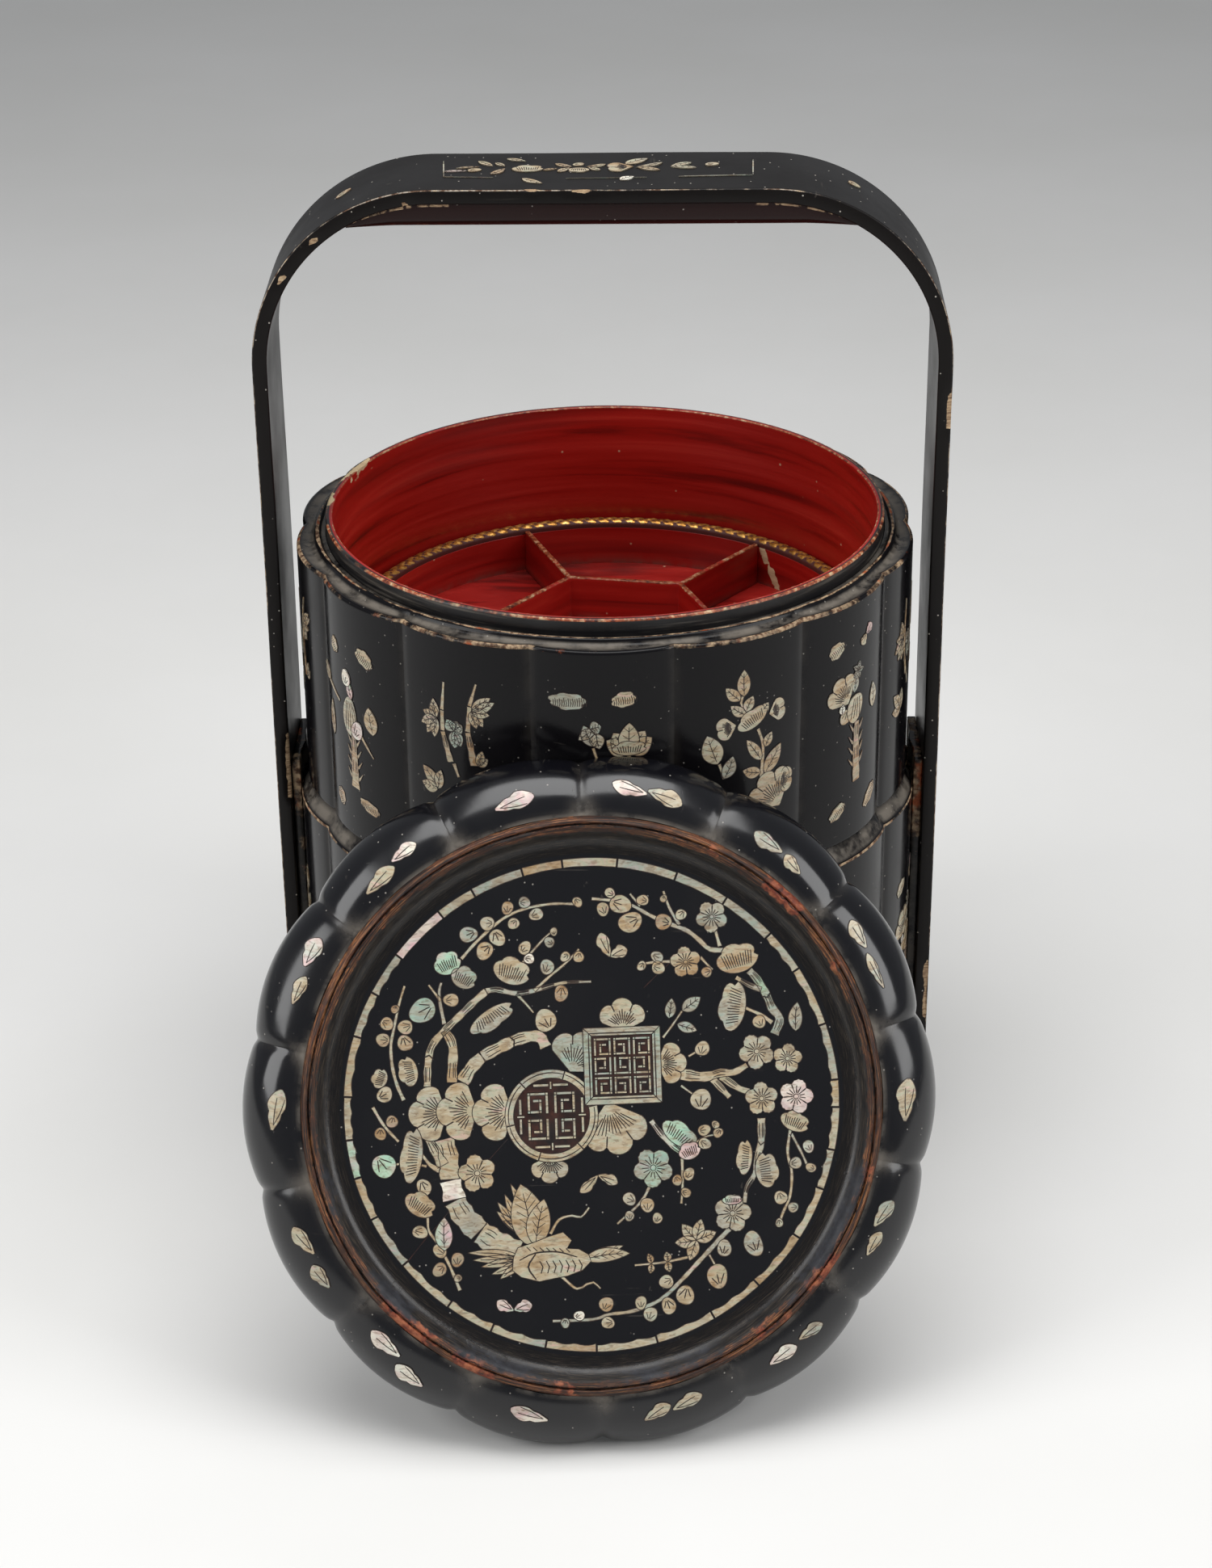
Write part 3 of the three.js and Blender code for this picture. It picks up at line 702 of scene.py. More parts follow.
def lobe(piece, crest, turn=0.0, pinch=0.35, dust=0.07):
    """Moves a turned piece's rings together near the grooves, and dips it between its crests."""
    places = coordinates(piece.data)
    radius, angle = round_places(places)
    radius = radius / MM
    turns = (angle - turn) / (2 * HALF_LOBE)
    from_crest = (turns - np.round(turns)) * 2
    size = np.abs(from_crest)
    angle = angle + (1 - (1 - size) ** 1.8 - size) * np.sign(from_crest) * HALF_LOBE
    share = marked(piece.data, "lobe")
    sink = marked(piece.data, "sink")
    groove = groove_share(angle, turn)
    dip = lobe_dip(angle, crest, turn) + pinch * groove
    seeds = zip(np.sin(angle), places[:, 2])
    uneven = np.array([noise.noise(Vector((a * 2.3, z * 9, 3.1))) for a, z in seeds])
    radius = radius - share * dip + share * UNEVENNESS * uneven
    places[:, 0] = radius * np.sin(angle) * MM
    places[:, 1] = -radius * np.cos(angle) * MM
    places[:, 2] -= sink * dip * MM
    set_coordinates(piece.data, places)
    settled = marked(piece.data, "dust") + groove * np.maximum(share, sink) * dust
    mark(piece.data, "dust", np.clip(settled, 0, 1))
    return piece


def climb(radius, start, end, steps, lobed_share=0.0, **marks):
    """Points up or down a plain wall, between its corners."""
    return [Point(radius, start + (end - start) * k / steps, lobed_share, **marks) for k in range(1, steps)]


def seen_from_camera(pixel):
    right, up, forward = camera_axes()
    across = pixel[0] - PHOTO_CENTRE[0]
    down = pixel[1] - PHOTO_CENTRE[1]
    return (forward * PIXELS_AWAY + right * across - up * down).normalized()


def on_level(pixel, height):
    """Where the line of sight through a pixel meets a level, in millimetres."""
    ray = seen_from_camera(pixel)
    return CAMERA_PLACE + ray * ((height - CAMERA_PLACE.z) / ray.z)


def bare_patch(piece, ends, reach, lowest=-1.0):
    """Marks the lacquer as chipped off along a short line."""
    places = coordinates(piece.data) / MM
    start, end = (np.array(p) for p in ends)
    along = end - start
    share = np.clip((places - start) @ along / max(along @ along, 1e-9), 0, 1)
    away = np.linalg.norm(places - start - share[:, None] * along, axis=1)
    ragged = np.array([noise.noise(Vector(p) * 0.21) for p in places])
    patch = np.clip(1.25 - away / reach + 0.55 * ragged, 0, 1) * (places[:, 2] > lowest)
    mark(piece.data, "bare", np.maximum(marked(piece.data, "bare"), patch))


# The container and the upper tier


def lobed_piece(name, body, node, crest, corners, radii, wears):
    section = rounded(corners, radii, wears)
    return complete(lobe(turned(name, section, LOBED_STEPS), crest), BLACK, body, "black_lacquer", node)


def add_wall(node, body, crest, bottom, top, croze, bore=WALL_BORE):
    """A tier's wall, with the croze that its floor sits in."""
    low, high = croze
    deep = WALL_BORE + CROZE_DEPTH
    foot = Point(crest, bottom, 1)
    corners = [
        Point(bore, bottom), foot, *climb(crest, bottom, top, 9, 1), Point(crest, top, 1),
        Point(WALL_BORE, top), Point(WALL_BORE, high), Point(deep, high), Point(deep, low), Point(bore, low),
    ]
    radii = [1.0 if p is foot else 0 for p in corners]
    lobed_piece(node + "_lacquered", body, node, crest, corners, radii, [0.62] * len(corners))


def add_liner(name, body, node, bottom, top):
    inside = [COLLAR - 1.2, 300, 298.6, 297, 295, 292.5, 289, 284, 276, 262, 245, 225, 205]
    shift = top - COLLAR
    corners = [
        Point(LINER_BORE, bottom),
        Point(LINER_OUT, bottom, other=1.0),
        Point(LINER_OUT, top - 8.5, other=1.0),
        Point(LINER_OUT, top, other=1.0),
        Point(LINER_BORE, top),
        *[Point(LINER_BORE, z + shift) for z in inside if z + shift > bottom + 3],
    ]
    radii = [0, 0, 0, 0.9, 0.8] + [0] * (len(corners) - 5)
    section = rounded(corners, radii, [0.95] * len(corners))
    piece = turned(name, section)
    mark(piece.data, "outside", marked(piece.data, "other"))
    return complete(piece, RED, body, "red_lacquer", node)


def add_tier_shoulder():
    outer = Point(TIER, SHOULDER, 1)
    bead = [
        Point(123.6 + 1.35 * math.cos(a), 295.05 + 1.35 * math.sin(a), 0.12, wear=1.02 * math.sin(a) ** 2)
        for a in np.linspace(0.15, 2.9, 7)
    ]
    corners = [
        Point(WALL_BORE, TIER_WALL_TOP), Point(TIER, TIER_WALL_TOP, 1), outer,
        Point(129.8, 294.1, 0.75, dust=0.5), Point(127.4, 293.7, 0.45, dust=0.8),
        Point(125.6, 294.3, 0.2, dust=0.75), *bead, Point(121.6, 295.0, dust=0.7),
        Point(WALL_BORE, 295.2, dust=0.4),
    ]
    radii = [1.3 if p is outer else 0 for p in corners]
    wears = [0.85] * len(corners)
    lobed_piece("tier_shoulder_lacquered", "upper_tier", "tier_shoulder", TIER, corners, radii, wears)


def add_container_shoulder():
    edge = Point(CONTAINER, 176.4, 1)
    seat = Point(131.3, SEAM, 1, dust=0.3)
    corners = [
        Point(WALL_BORE, CONTAINER_WALL_TOP), Point(CONTAINER, CONTAINER_WALL_TOP, 1), edge,
        Point(135.0, 178.0, 1, dust=0.75), Point(133.4, 180.6, 1, dust=0.9), seat, Point(WALL_BORE, SEAM),
    ]
    radii = [1.1 if p is edge else 0.4 if p is seat else 0 for p in corners]
    wears = [0.95 if p is edge else 0.3 for p in corners]
    lobed_piece(
        "container_shoulder_lacquered", "container", "container_shoulder", CONTAINER, corners, radii, wears
    )


def add_plinth():
    corners = [
        Point(122.8, 0), Point(PLINTH, 0, 1), Point(PLINTH, 11, 1), Point(147.2, 12.2, 1, dust=0.5),
        Point(147.0, 15.6, 1), Point(145.6, PLINTH_TOP, 1), Point(WALL_BORE, PLINTH_TOP),
        Point(WALL_BORE, 10.02), Point(122.8, 10.02),
    ]
    radii = [0, 1.4, 1.0, 0, 0, 1.0, 0, 0, 0]
    wears = [0, 0.8, 0.5, 0, 0, 0.7, 0, 0, 0]
    lobed_piece("plinth_lacquered", "container", "base_plinth", PLINTH, corners, radii, wears)


def add_bearer():
    corners = [Point(108.5, 197.6), Point(116.5, 197.6), Point(116.5, 225.5), Point(108.5, 225.5)]
    piece = turned("bearer_hoop", rounded(corners, [0, 0, 0.6, 0.6], [0, 0, 0.5, 0.6]))
    complete(piece, RED, "upper_tier", "red_lacquer", "tray_bearer")


def add_basket():
    add_plinth()
    add_wall("container_wall", "container", CONTAINER, PLINTH_TOP, CONTAINER_WALL_TOP, CONTAINER_CROZE)
    add_container_shoulder()
    add_liner(
        "container_lining", "container", "container_liner", CONTAINER_CROZE[1], SEAM + CONTAINER_COLLAR_RISE
    )
    add_wall("tier_wall", "upper_tier", TIER, SEAM, TIER_WALL_TOP, TIER_CROZE, TIER_FOOT_BORE)
    add_tier_shoulder()
    collar = add_liner("tier_lining", "upper_tier", "tier_liner", TIER_CROZE[1], COLLAR)
    bare_patch(collar, (on_level((418, 590), COLLAR), on_level((446, 570), COLLAR)), 6.5, 292)
    bare_patch(collar, (on_level((405, 624), COLLAR), on_level((408, 612), COLLAR)), 3.0, 294)
    add_bearer()


# The handle


def strip_section():
    """The strip's rounded outline at the right leg's foot, with worn corners."""
    left, right, half = HANDLE_SIDE - STRIP, HANDLE_SIDE, STRIP_DEPTH / 2
    rounding, hold = 0.8, 0.35
    points = []
    for x, y, start in ((right, -half, -90), (right, half, 0), (left, half, 90), (left, -half, 180)):
        cx = x - math.copysign(rounding, x - (left + right) / 2)
        cy = y - math.copysign(rounding, y)
        for angle in (0, 30, 60, 90):
            turn = math.radians(start + angle)
            wear = (0.9 if x == right else 0.45) * (angle in (30, 60))
            points.append((cx + rounding * math.cos(turn), cy + rounding * math.sin(turn), wear))
        if start in (-90, 90):
            step = math.copysign(hold, -y)
            points += [(x, far, 0.0) for far in (cy + step, cy + step * 6, -cy - step * 6, -cy - step)]
        else:
            points.append(((left + right) / 2, y, 0.0))
    return points


def add_handle():
    points = strip_section()
    clear_selection()
    bpy.ops.mesh.primitive_circle_add(vertices=len(points), radius=1, fill_type="NGON")
    piece = bpy.context.object
    piece.name = piece.data.name = "handle_arch_lacquered"
    foot = PLINTH_TOP - 1
    for vertex, point in zip(piece.data.vertices, points):
        vertex.co = (point[0] * MM, point[1] * MM, foot * MM)
    mark(piece.data, "wear", [p[2] for p in points])
    open_mesh()
    sweep_straight((0, 0, SPRINGING - foot), 110)
    bend_strip((STRAIGHT, 0, SPRINGING))
    sweep_straight((-2 * STRAIGHT, 0, 0), 62)
    bend_strip((-STRAIGHT, 0, SPRINGING))
    sweep_straight((0, 0, foot - SPRINGING), 110)
    bpy.ops.mesh.select_all(action="SELECT")
    bpy.ops.mesh.remove_doubles(threshold=1e-6)
    close_mesh()
    age_handle(piece)
    complete(piece, HANDLE_BLACK, "container", "black_lacquer", "handle_arch")


def sweep_straight(way, steps):
    step = tuple(value * MM / steps for value in way)
    for _ in range(steps):
        bpy.ops.mesh.extrude_region_move(TRANSFORM_OT_translate={"value": step})


def bend_strip(centre):
    centre = tuple(value * MM for value in centre)
    bpy.ops.mesh.spin(steps=44, angle=math.pi / 2, center=centre, axis=(0, 1, 0))


# Where the handle's lacquer is chipped off: on its top and its front edge in pixels of the
# photograph, and on its legs in millimetres (across, from, to), with the reach of each chip
TOP_CHIPS = [((704, 237), (744, 236), 2.0), ((650, 235), (664, 235), 1.0)]
FRONT_CHIPS = [
    ((384, 302), (392, 294), 1.0), ((346, 349), (350, 343), 0.9),
    ((958, 188), (975, 188), 1.5), ((497, 250), (503, 260), 1.0),
]
LEG_CHIPS = [(-139.0, 176, 204, 1.3), (144, 348, 362, 1.3), (143.5, 60, 90, 1.5)]


def age_handle(piece):
    places = coordinates(piece.data)
    for k, place in enumerate(places):
        where = Vector(place)
        places[k, 0] += 0.5 * MM * noise.noise(where * 9 + Vector((3, 0, 0)))
        places[k, 1] += 0.5 * MM * noise.noise(where * 11 + Vector((0, 5, 0)))
        places[k, 2] += 0.4 * MM * noise.noise(where * 13 + Vector((0, 0, 7)))
    set_coordinates(piece.data, places)
    front = -STRIP_DEPTH / 2
    for start, end, reach in TOP_CHIPS:
        bare_patch(piece, (on_level(start, HANDLE_TOP), on_level(end, HANDLE_TOP)), reach)
    for start, end, reach in FRONT_CHIPS:
        bare_patch(piece, (on_front(start, front), on_front(end, front)), reach)
    for x, low_end, high_end, reach in LEG_CHIPS:
        bare_patch(piece, (Vector((x, front, low_end)), Vector((x, front, high_end))), reach)
    bare = marked(piece.data, "bare")
    places = coordinates(piece.data)
    inward = np.sign(places[:, 1]) * bare * 1.1 * MM * (np.abs(places[:, 1]) > 0.024)
    places[:, 1] -= inward
    set_coordinates(piece.data, places)


def on_front(pixel, depth):
    """Where the line of sight through a pixel meets an upright plane across the basket."""
    ray = seen_from_camera(pixel)
    return CAMERA_PLACE + ray * ((depth - CAMERA_PLACE.y) / ray.y)


def loft(name, rings):
    """A closed body through rings of the same number of points, from one end to the other."""
    count = len(rings[0])
    points = [p for ring in rings for p in ring]
    faces = [tuple(range(count))[::-1], tuple(range(len(points) - count, len(points)))]
    for r in range(len(rings) - 1):
        for k in range(count):
            a, b = r * count + k, r * count + (k + 1) % count
            faces.append((a, b, b + count, a + count))
    piece = from_parts(name, points, faces)
    make_active(piece)
    open_mesh()
    close_mesh()
    return piece


# The grip bar: how far it hangs below the strip, and the depth of the rows beside their joint, in
# millimetres and as a share of the bar where that is thin. The joint is open towards the ends.
GRIP_DEPTH = 9.6
JOINT_ROWS = ((0, 0), (1.15, 0.15), (1.6, 0.22))
JOINT_CLOSED = 60


def add_grip():
    under = HANDLE_TOP - STRIP
    bottom = under - GRIP_DEPTH
    corner_radius = CORNER - STRIP
    reach = STRAIGHT + corner_radius * math.sin(math.acos(1 - 9.2 / corner_radius))
    half = STRIP_DEPTH / 2 - 1
    rings, split = [], []
    for x in np.linspace(-reach, reach, 120):
        past = max(0.0, abs(x) - STRAIGHT)
        top = under - corner_radius + math.sqrt(corner_radius ** 2 - past ** 2) + 0.25
        rounding = min(4.0, (top - bottom) * 0.48)
        deep = top - bottom
        ring = [(x, -half, top - min(depth, deep * share)) for depth, share in JOINT_ROWS]
        ring.append((x, -half, bottom + rounding))
        for angle in np.linspace(0, math.pi / 2, 7)[1:]:
            ring.append((
                x, -half + rounding * (1 - math.cos(angle)), bottom + rounding * (1 - math.sin(angle))
            ))
        ring += [(px, -py, pz) for px, py, pz in reversed(ring)]
        rings.append(ring)
        ragged = 0.5 + 0.35 * noise.noise(Vector((x * 0.3, 2.0, 0)))
        open_joint = ragged if abs(x) > JOINT_CLOSED else 0.0
        split += [open_joint] * 2 + [0.0] * (len(ring) - 4) + [open_joint] * 2
    piece = loft("grip_bar_lacquered", rings)
    places = coordinates(piece.data) / MM
    wear = np.exp(-(((places[:, 2] - bottom - 1.0) / 1.0) ** 2)) * 0.66
    ends = np.clip((np.abs(places[:, 0]) - 96) / 10, 0, 1)
    mark(piece.data, "wear", np.clip(wear + ends * 0.35, 0, 1))
    mark(piece.data, "bare", split)
    complete(piece, GRIP_LACQUER_RED_REFLECTION, "container", "black_lacquer", "grip_bar")


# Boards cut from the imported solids: their edges are rounded and rubbed


def board(name, node, material, body, slot, bevel, top_wear, levels):
    """A copy of a board's solid, cut across at some levels so that its wear and dust can fade."""
    clear_selection()
    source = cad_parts[node]
    piece = bpy.data.objects.new(name, source.data.copy())
    bpy.context.scene.collection.objects.link(piece)
    make_active(piece)
    open_mesh()
    bpy.ops.mesh.remove_doubles(threshold=2e-6)
    bpy.ops.mesh.dissolve_limited(angle_limit=math.radians(2))
    close_mesh()
    rounding = piece.modifiers.new("edges", "BEVEL")
    rounding.width = bevel * MM
    rounding.segments = 3
    rounding.limit_method = "ANGLE"
    rounding.angle_limit = math.radians(28)
    bpy.ops.object.modifier_apply(modifier=rounding.name)
    bpy.ops.object.mode_set(mode="EDIT")
    for level in levels:
        bpy.ops.mesh.select_all(action="SELECT")
        bpy.ops.mesh.bisect(plane_co=(0, 0, level * MM), plane_no=(0, 0, 1))
    bpy.ops.object.mode_set(mode="OBJECT")
    places = coordinates(piece.data) / MM
    top = places[:, 2].max()
    mark(piece.data, "wear", np.where(places[:, 2] > top - bevel * 1.3, top_wear, 0.0))
    low_part = places[:, 2].min()
    mark(piece.data, "dust", np.clip(1 - (places[:, 2] - low_part) / 3.0, 0, 1) * 0.8)
    complete(piece, material, body, slot, node)


# The tray


def add_tray_rim():
    """The rim: a rounded moulding whose gilt scrolls are raised in it."""
    inner, width, base, height = TRAY_WALL[0], 6.4, TRAY_WALL_TOP, 3.5
    section = [Point(inner, base), Point(inner + width * 0.9, base)]
    count = 15
    for k in range(count):
        angle = math.pi * (0.02 + 0.96 * k / (count - 1))
        across = 0.5 + 0.5 * math.cos(angle)
        level = base + 0.9 + (height - 0.9) * math.sin(angle) ** 0.75
        section.append(Point(inner + width * across, level, other=1 - abs(2 * across - 1) ** 3))
    piece = turned("tray_rim_gilt", section, 1000)
    places = coordinates(piece.data) / MM
    radius, angle = round_places(places)
    across = (radius - inner - width / 2) / width
    share = marked(piece.data, "other")
    turns = 112
    scroll = np.sin(turns * angle + 5.2 * across + 1.1 * np.sin(9.0 * across))
    second = np.sin(2 * turns * angle - 9.0 * across)
    relief = np.clip(0.5 + 0.42 * scroll + 0.26 * second, 0, 1)
    places[:, 2] += share * 0.55 * (relief - 1)
    places *= MM
    places[:, 0] += TRAY_SHIFT * MM
    set_coordinates(piece.data, places)
    mark(piece.data, "gilt", share * relief)
    complete(piece, GILT, "tray", "gold_lacquer", "tray_rim", 60)


def add_tray():
    inner, outer = TRAY_WALL
    corners = [
        Point(inner, TRAY_FLOOR_TOP, dust=0.8), Point(outer, TRAY_FLOOR_TOP), Point(outer, TRAY_WALL_TOP),
        Point(inner, TRAY_WALL_TOP), *climb(inner, 246, 234, 6), Point(inner, 234), Point(inner, 231, dust=0.2),
    ]
    piece = turned("tray_hoop", rounded(corners, [0, 0, 0.4, 0.4] + [0] * 7, [0, 0, 0, 0.2] + [0] * 7))
    places = coordinates(piece.data)
    places[:, 0] += TRAY_SHIFT * MM
    set_coordinates(piece.data, places)
    bare_patch(piece, (on_level((942, 680), 246), on_level((960, 728), 229.5)), 2.6)
    complete(piece, RED, "tray", "red_lacquer", "tray_wall")
    pieces = [("tray_hexagon_boards", "tray_hexagon")]
    pieces += [(f"tray_divider_board_{k}", f"tray_divider_{k}") for k in range(1, 7)]
    for name, node in pieces:
        board(name, node, RED, "tray", "red_lacquer", 0.45, 0.95, TRAY_CUTS)


# The lid


def lean(piece):
    """Carries a piece from the lid's own frame to its place against the basket."""
    set_coordinates(piece.data, coordinates(piece.data) @ LID_TURN + np.array(LID_ORIGIN) * MM)


def complete_on_lid(piece, material, slot, node, angle=38):
    smooth(piece, angle)
    lean(piece)
    paint_piece(piece, material)
    fit(piece, "lid", slot, node)


def rim_curve(angle):
    """The lid rim's outside at an angle from its edge to its top: radius, height, share and sink."""
    across = 1 - math.cos(angle)
    share = 1 - LID_SHARE_LOSS * across ** 2
    return LID - across * LID_SWEEP, LID_RIM_TOP * math.sin(angle), share, LID_SINK * across


def add_lid_rim():
    edge = Point(138.9, 0, 1, wear=0.5)
    outside = []
    for k in range(19):
        angle = math.pi / 2 * (0.05 + 0.95 * k / 18)
        radius, height, share, sink = rim_curve(angle)
        outside.append(
            Point(radius, height, share, sink, wear=max(0, 0.55 - 0.35 * k) if k < 2 else 0.0, dust=0.0)
        )
    section = [
        Point(121.7, 0), Point(123.2, 0, 0.1), edge, *outside,
        Point(115.5, PANEL_UNDERSIDE), Point(121.7, PANEL_UNDERSIDE),
    ]
    piece = turned("lid_rim_lacquered", section, LOBED_STEPS)
    lobe(piece, LID, HALF_LOBE, pinch=0.75, dust=0.1)
    places = coordinates(piece.data) / MM
    radius, angle = round_places(places)
    near = np.clip((128 - radius) / 12, 0, 1) * (places[:, 2] > 12.6)
    beside_ridge = np.exp(-(((radius - 115.5) / 1.1) ** 2)) * 0.6 * (places[:, 2] > 18)
    grime = groove_share(angle, HALF_LOBE, 0.16) * near ** 2 * 0.75 + beside_ridge
    mark(piece.data, "dust", np.clip(marked(piece.data, "dust") * 0.6 + grime, 0, 1))
    smooth(piece)
    lean(piece)
    places = coordinates(piece.data)
    places[:, 2] = np.maximum(places[:, 2], 0)
    set_coordinates(piece.data, places)
    paint_piece(piece, LID_BLACK)
    fit(piece, "lid", "black_lacquer", "lid_rim")


def add_lid_panel():
    section = [Point(radius, PANEL_UNDERSIDE) for radius in (0, 60, LID_PANEL)]
    section += [Point(radius, PANEL_TOP) for radius in (LID_PANEL, 100, 60, 0)]
    complete_on_lid(turned("lid_panel_lacquered", section), LID_BLACK, "black_lacquer", "lid_panel")
    ring = [Point(112, 10), Point(121.4, 10), Point(121.4, 12.5), Point(112, 12.5)]
    seat = turned("lid_seat_hoop", rounded(ring, [0.5, 0, 0, 0], [0.6, 0, 0, 0]))
    complete_on_lid(seat, LID_BLACK, "black_lacquer", "lid_seat_ring")


# Angles read off, in degrees from the lid's right side towards its top: where, how wide, how strong
RUST_PLACES = [
    (28, 8, 0.7), (46, 9, 1.0), (64, 6, 0.6), (84, 10, 0.3), (150, 10, 0.35), (180, 12, 0.4), (208, 8, 0.5),
    (228, 10, 1.1), (244, 8, 0.9), (262, 6, 0.8), (276, 6, 0.5), (306, 9, 0.8), (322, 8, 1.0), (344, 8, 0.6),
    (4, 10, 0.3)
]
SLATE_PLACES = [(196, 16, 0.8), (222, 10, 1.0), (250, 16, 1.0), (285, 18, 1.0), (330, 22, 1.1), (352, 14, 0.6)]


def ring_places(angles, places):
    strength = np.zeros(len(angles))
    for middle, width, share in places:
        away = (angles - middle + 180) % 360 - 180
        strength = np.maximum(strength, share * np.exp(-((away / width) ** 2)))
    return strength


def add_lid_ridge():
    """The cove and the split, peeled ridge between the lid's panel and its lobes."""
    top = RIDGE_TOP
    shape = [
        (RIDGE_FOOT, PANEL_TOP + 0.02), (103.2, PANEL_TOP + 0.35), (105.6, PANEL_TOP + 1.3),
        (107.2, PANEL_TOP + 2.9), (108.2, PANEL_TOP + 4.8), (108.9, top - 1.5), (109.6, top - 0.9),
        (110.2, top - 0.55), (110.8, top - 0.15), (111.4, top), (111.9, top - 0.5), (112.2, top - 1.3),
        (112.5, top - 0.5), (113.0, top - 0.12), (113.7, top - 0.35), (114.4, top - 0.9), (115.0, top - 1.8),
        (115.4, LID_RIM_TOP - 0.4),
    ]
    section = [Point(115.4, PANEL_TOP + 0.02), Point(108.0, PANEL_TOP + 0.02)]
    section += [Point(r, z, other=(r - RIDGE_FOOT) / RIDGE_WIDTH) for r, z in shape]
    piece = turned("lid_ridge_peeled", section, 560)
    places = coordinates(piece.data) / MM
    radius, angle = round_places(places)
    share = marked(piece.data, "other")
    crest = np.clip((share - 0.5) / 0.1, 0, 1)

    def round_ridge(k, size, height):
        return Vector((math.sin(angle[k]) * size, math.cos(angle[k]) * size, height))

    for k in np.nonzero(crest > 0)[0]:
        here = round_ridge(k, 5, radius[k] * 0.4)
        rough = noise.noise(here) + 0.6 * noise.noise(here * 3.1)
        fine = noise.noise(round_ridge(k, 30, radius[k] * 1.1))
        places[k, 2] += crest[k] * (0.32 * rough + 0.22 * fine - 0.25)
        wander = 0.35 * noise.noise(round_ridge(k, 4, 0.5))
        scale = 1 + wander * crest[k] * (1 - abs(2 * share[k] - 1.5)) / radius[k]
        places[k, :2] *= scale
    set_coordinates(piece.data, places * MM)
    mark(piece.data, "across", share)
    around = piece.data.attributes.new("around", "FLOAT_VECTOR", "POINT")
    around.data.foreach_set("vector", np.column_stack((0 * angle, np.sin(angle), np.cos(angle))).ravel())
    from_right = np.degrees(angle) - 90
    mark(piece.data, "rust", ring_places(from_right, RUST_PLACES))
    mark(piece.data, "slate", ring_places(from_right, SLATE_PLACES))
    complete_on_lid(piece, PEELED, "worn_lacquer", "lid_ridge", 50)


# Inlay: plates of shell, drawn flat in the millimetres of the surface that carries them


def smooth_line(points, step=1.5):
    """Points close together on a smooth line through the given ones."""
    points = [np.array(p, float) for p in points]
    if len(points) == 2:
        count = max(2, int(np.linalg.norm(points[1] - points[0]) / step) + 1)
        return [points[0] + (points[1] - points[0]) * t for t in np.linspace(0, 1, count)]
    padded = [2 * points[0] - points[1], *points, 2 * points[-1] - points[-2]]
    made = []
    for a, b, c, d in zip(padded, padded[1:], padded[2:], padded[3:]):
        count = max(1, int(np.linalg.norm(c - b) / step))
        for t in np.arange(count) / count:
            bent = 2 * b + (c - a) * t + (2 * a - 5 * b + 4 * c - d) * t ** 2
            made.append(0.5 * (bent + (3 * b - a - 3 * c + d) * t ** 3))
    return made + [points[-1]]


def sides_of(line, widths):
    """The left and right edges of a line that has a width at each point."""
    left, right = [], []
    for k, point in enumerate(line):
        ahead = line[min(k + 1, len(line) - 1)] - line[max(k - 1, 0)]
        ahead = ahead / max(np.linalg.norm(ahead), 1e-9)
        out = left_of(ahead) * widths[k] / 2
        left.append(point + out)
        right.append(point - out)
    return left, right


def polar(x, y, radius, angle):
    return np.array((x + radius * math.cos(angle), y + radius * math.sin(angle)))


def left_of(along):
    return np.array((-along[1], along[0]))


def axes(tilt):
    """The directions along and across a thing turned by an angle."""
    return np.array((math.cos(tilt), math.sin(tilt))), np.array((-math.sin(tilt), math.cos(tilt)))


def pick(value, low, high):
    """The value that a call gives, or else a random one."""
    return draw.uniform(low, high) if value is None else value


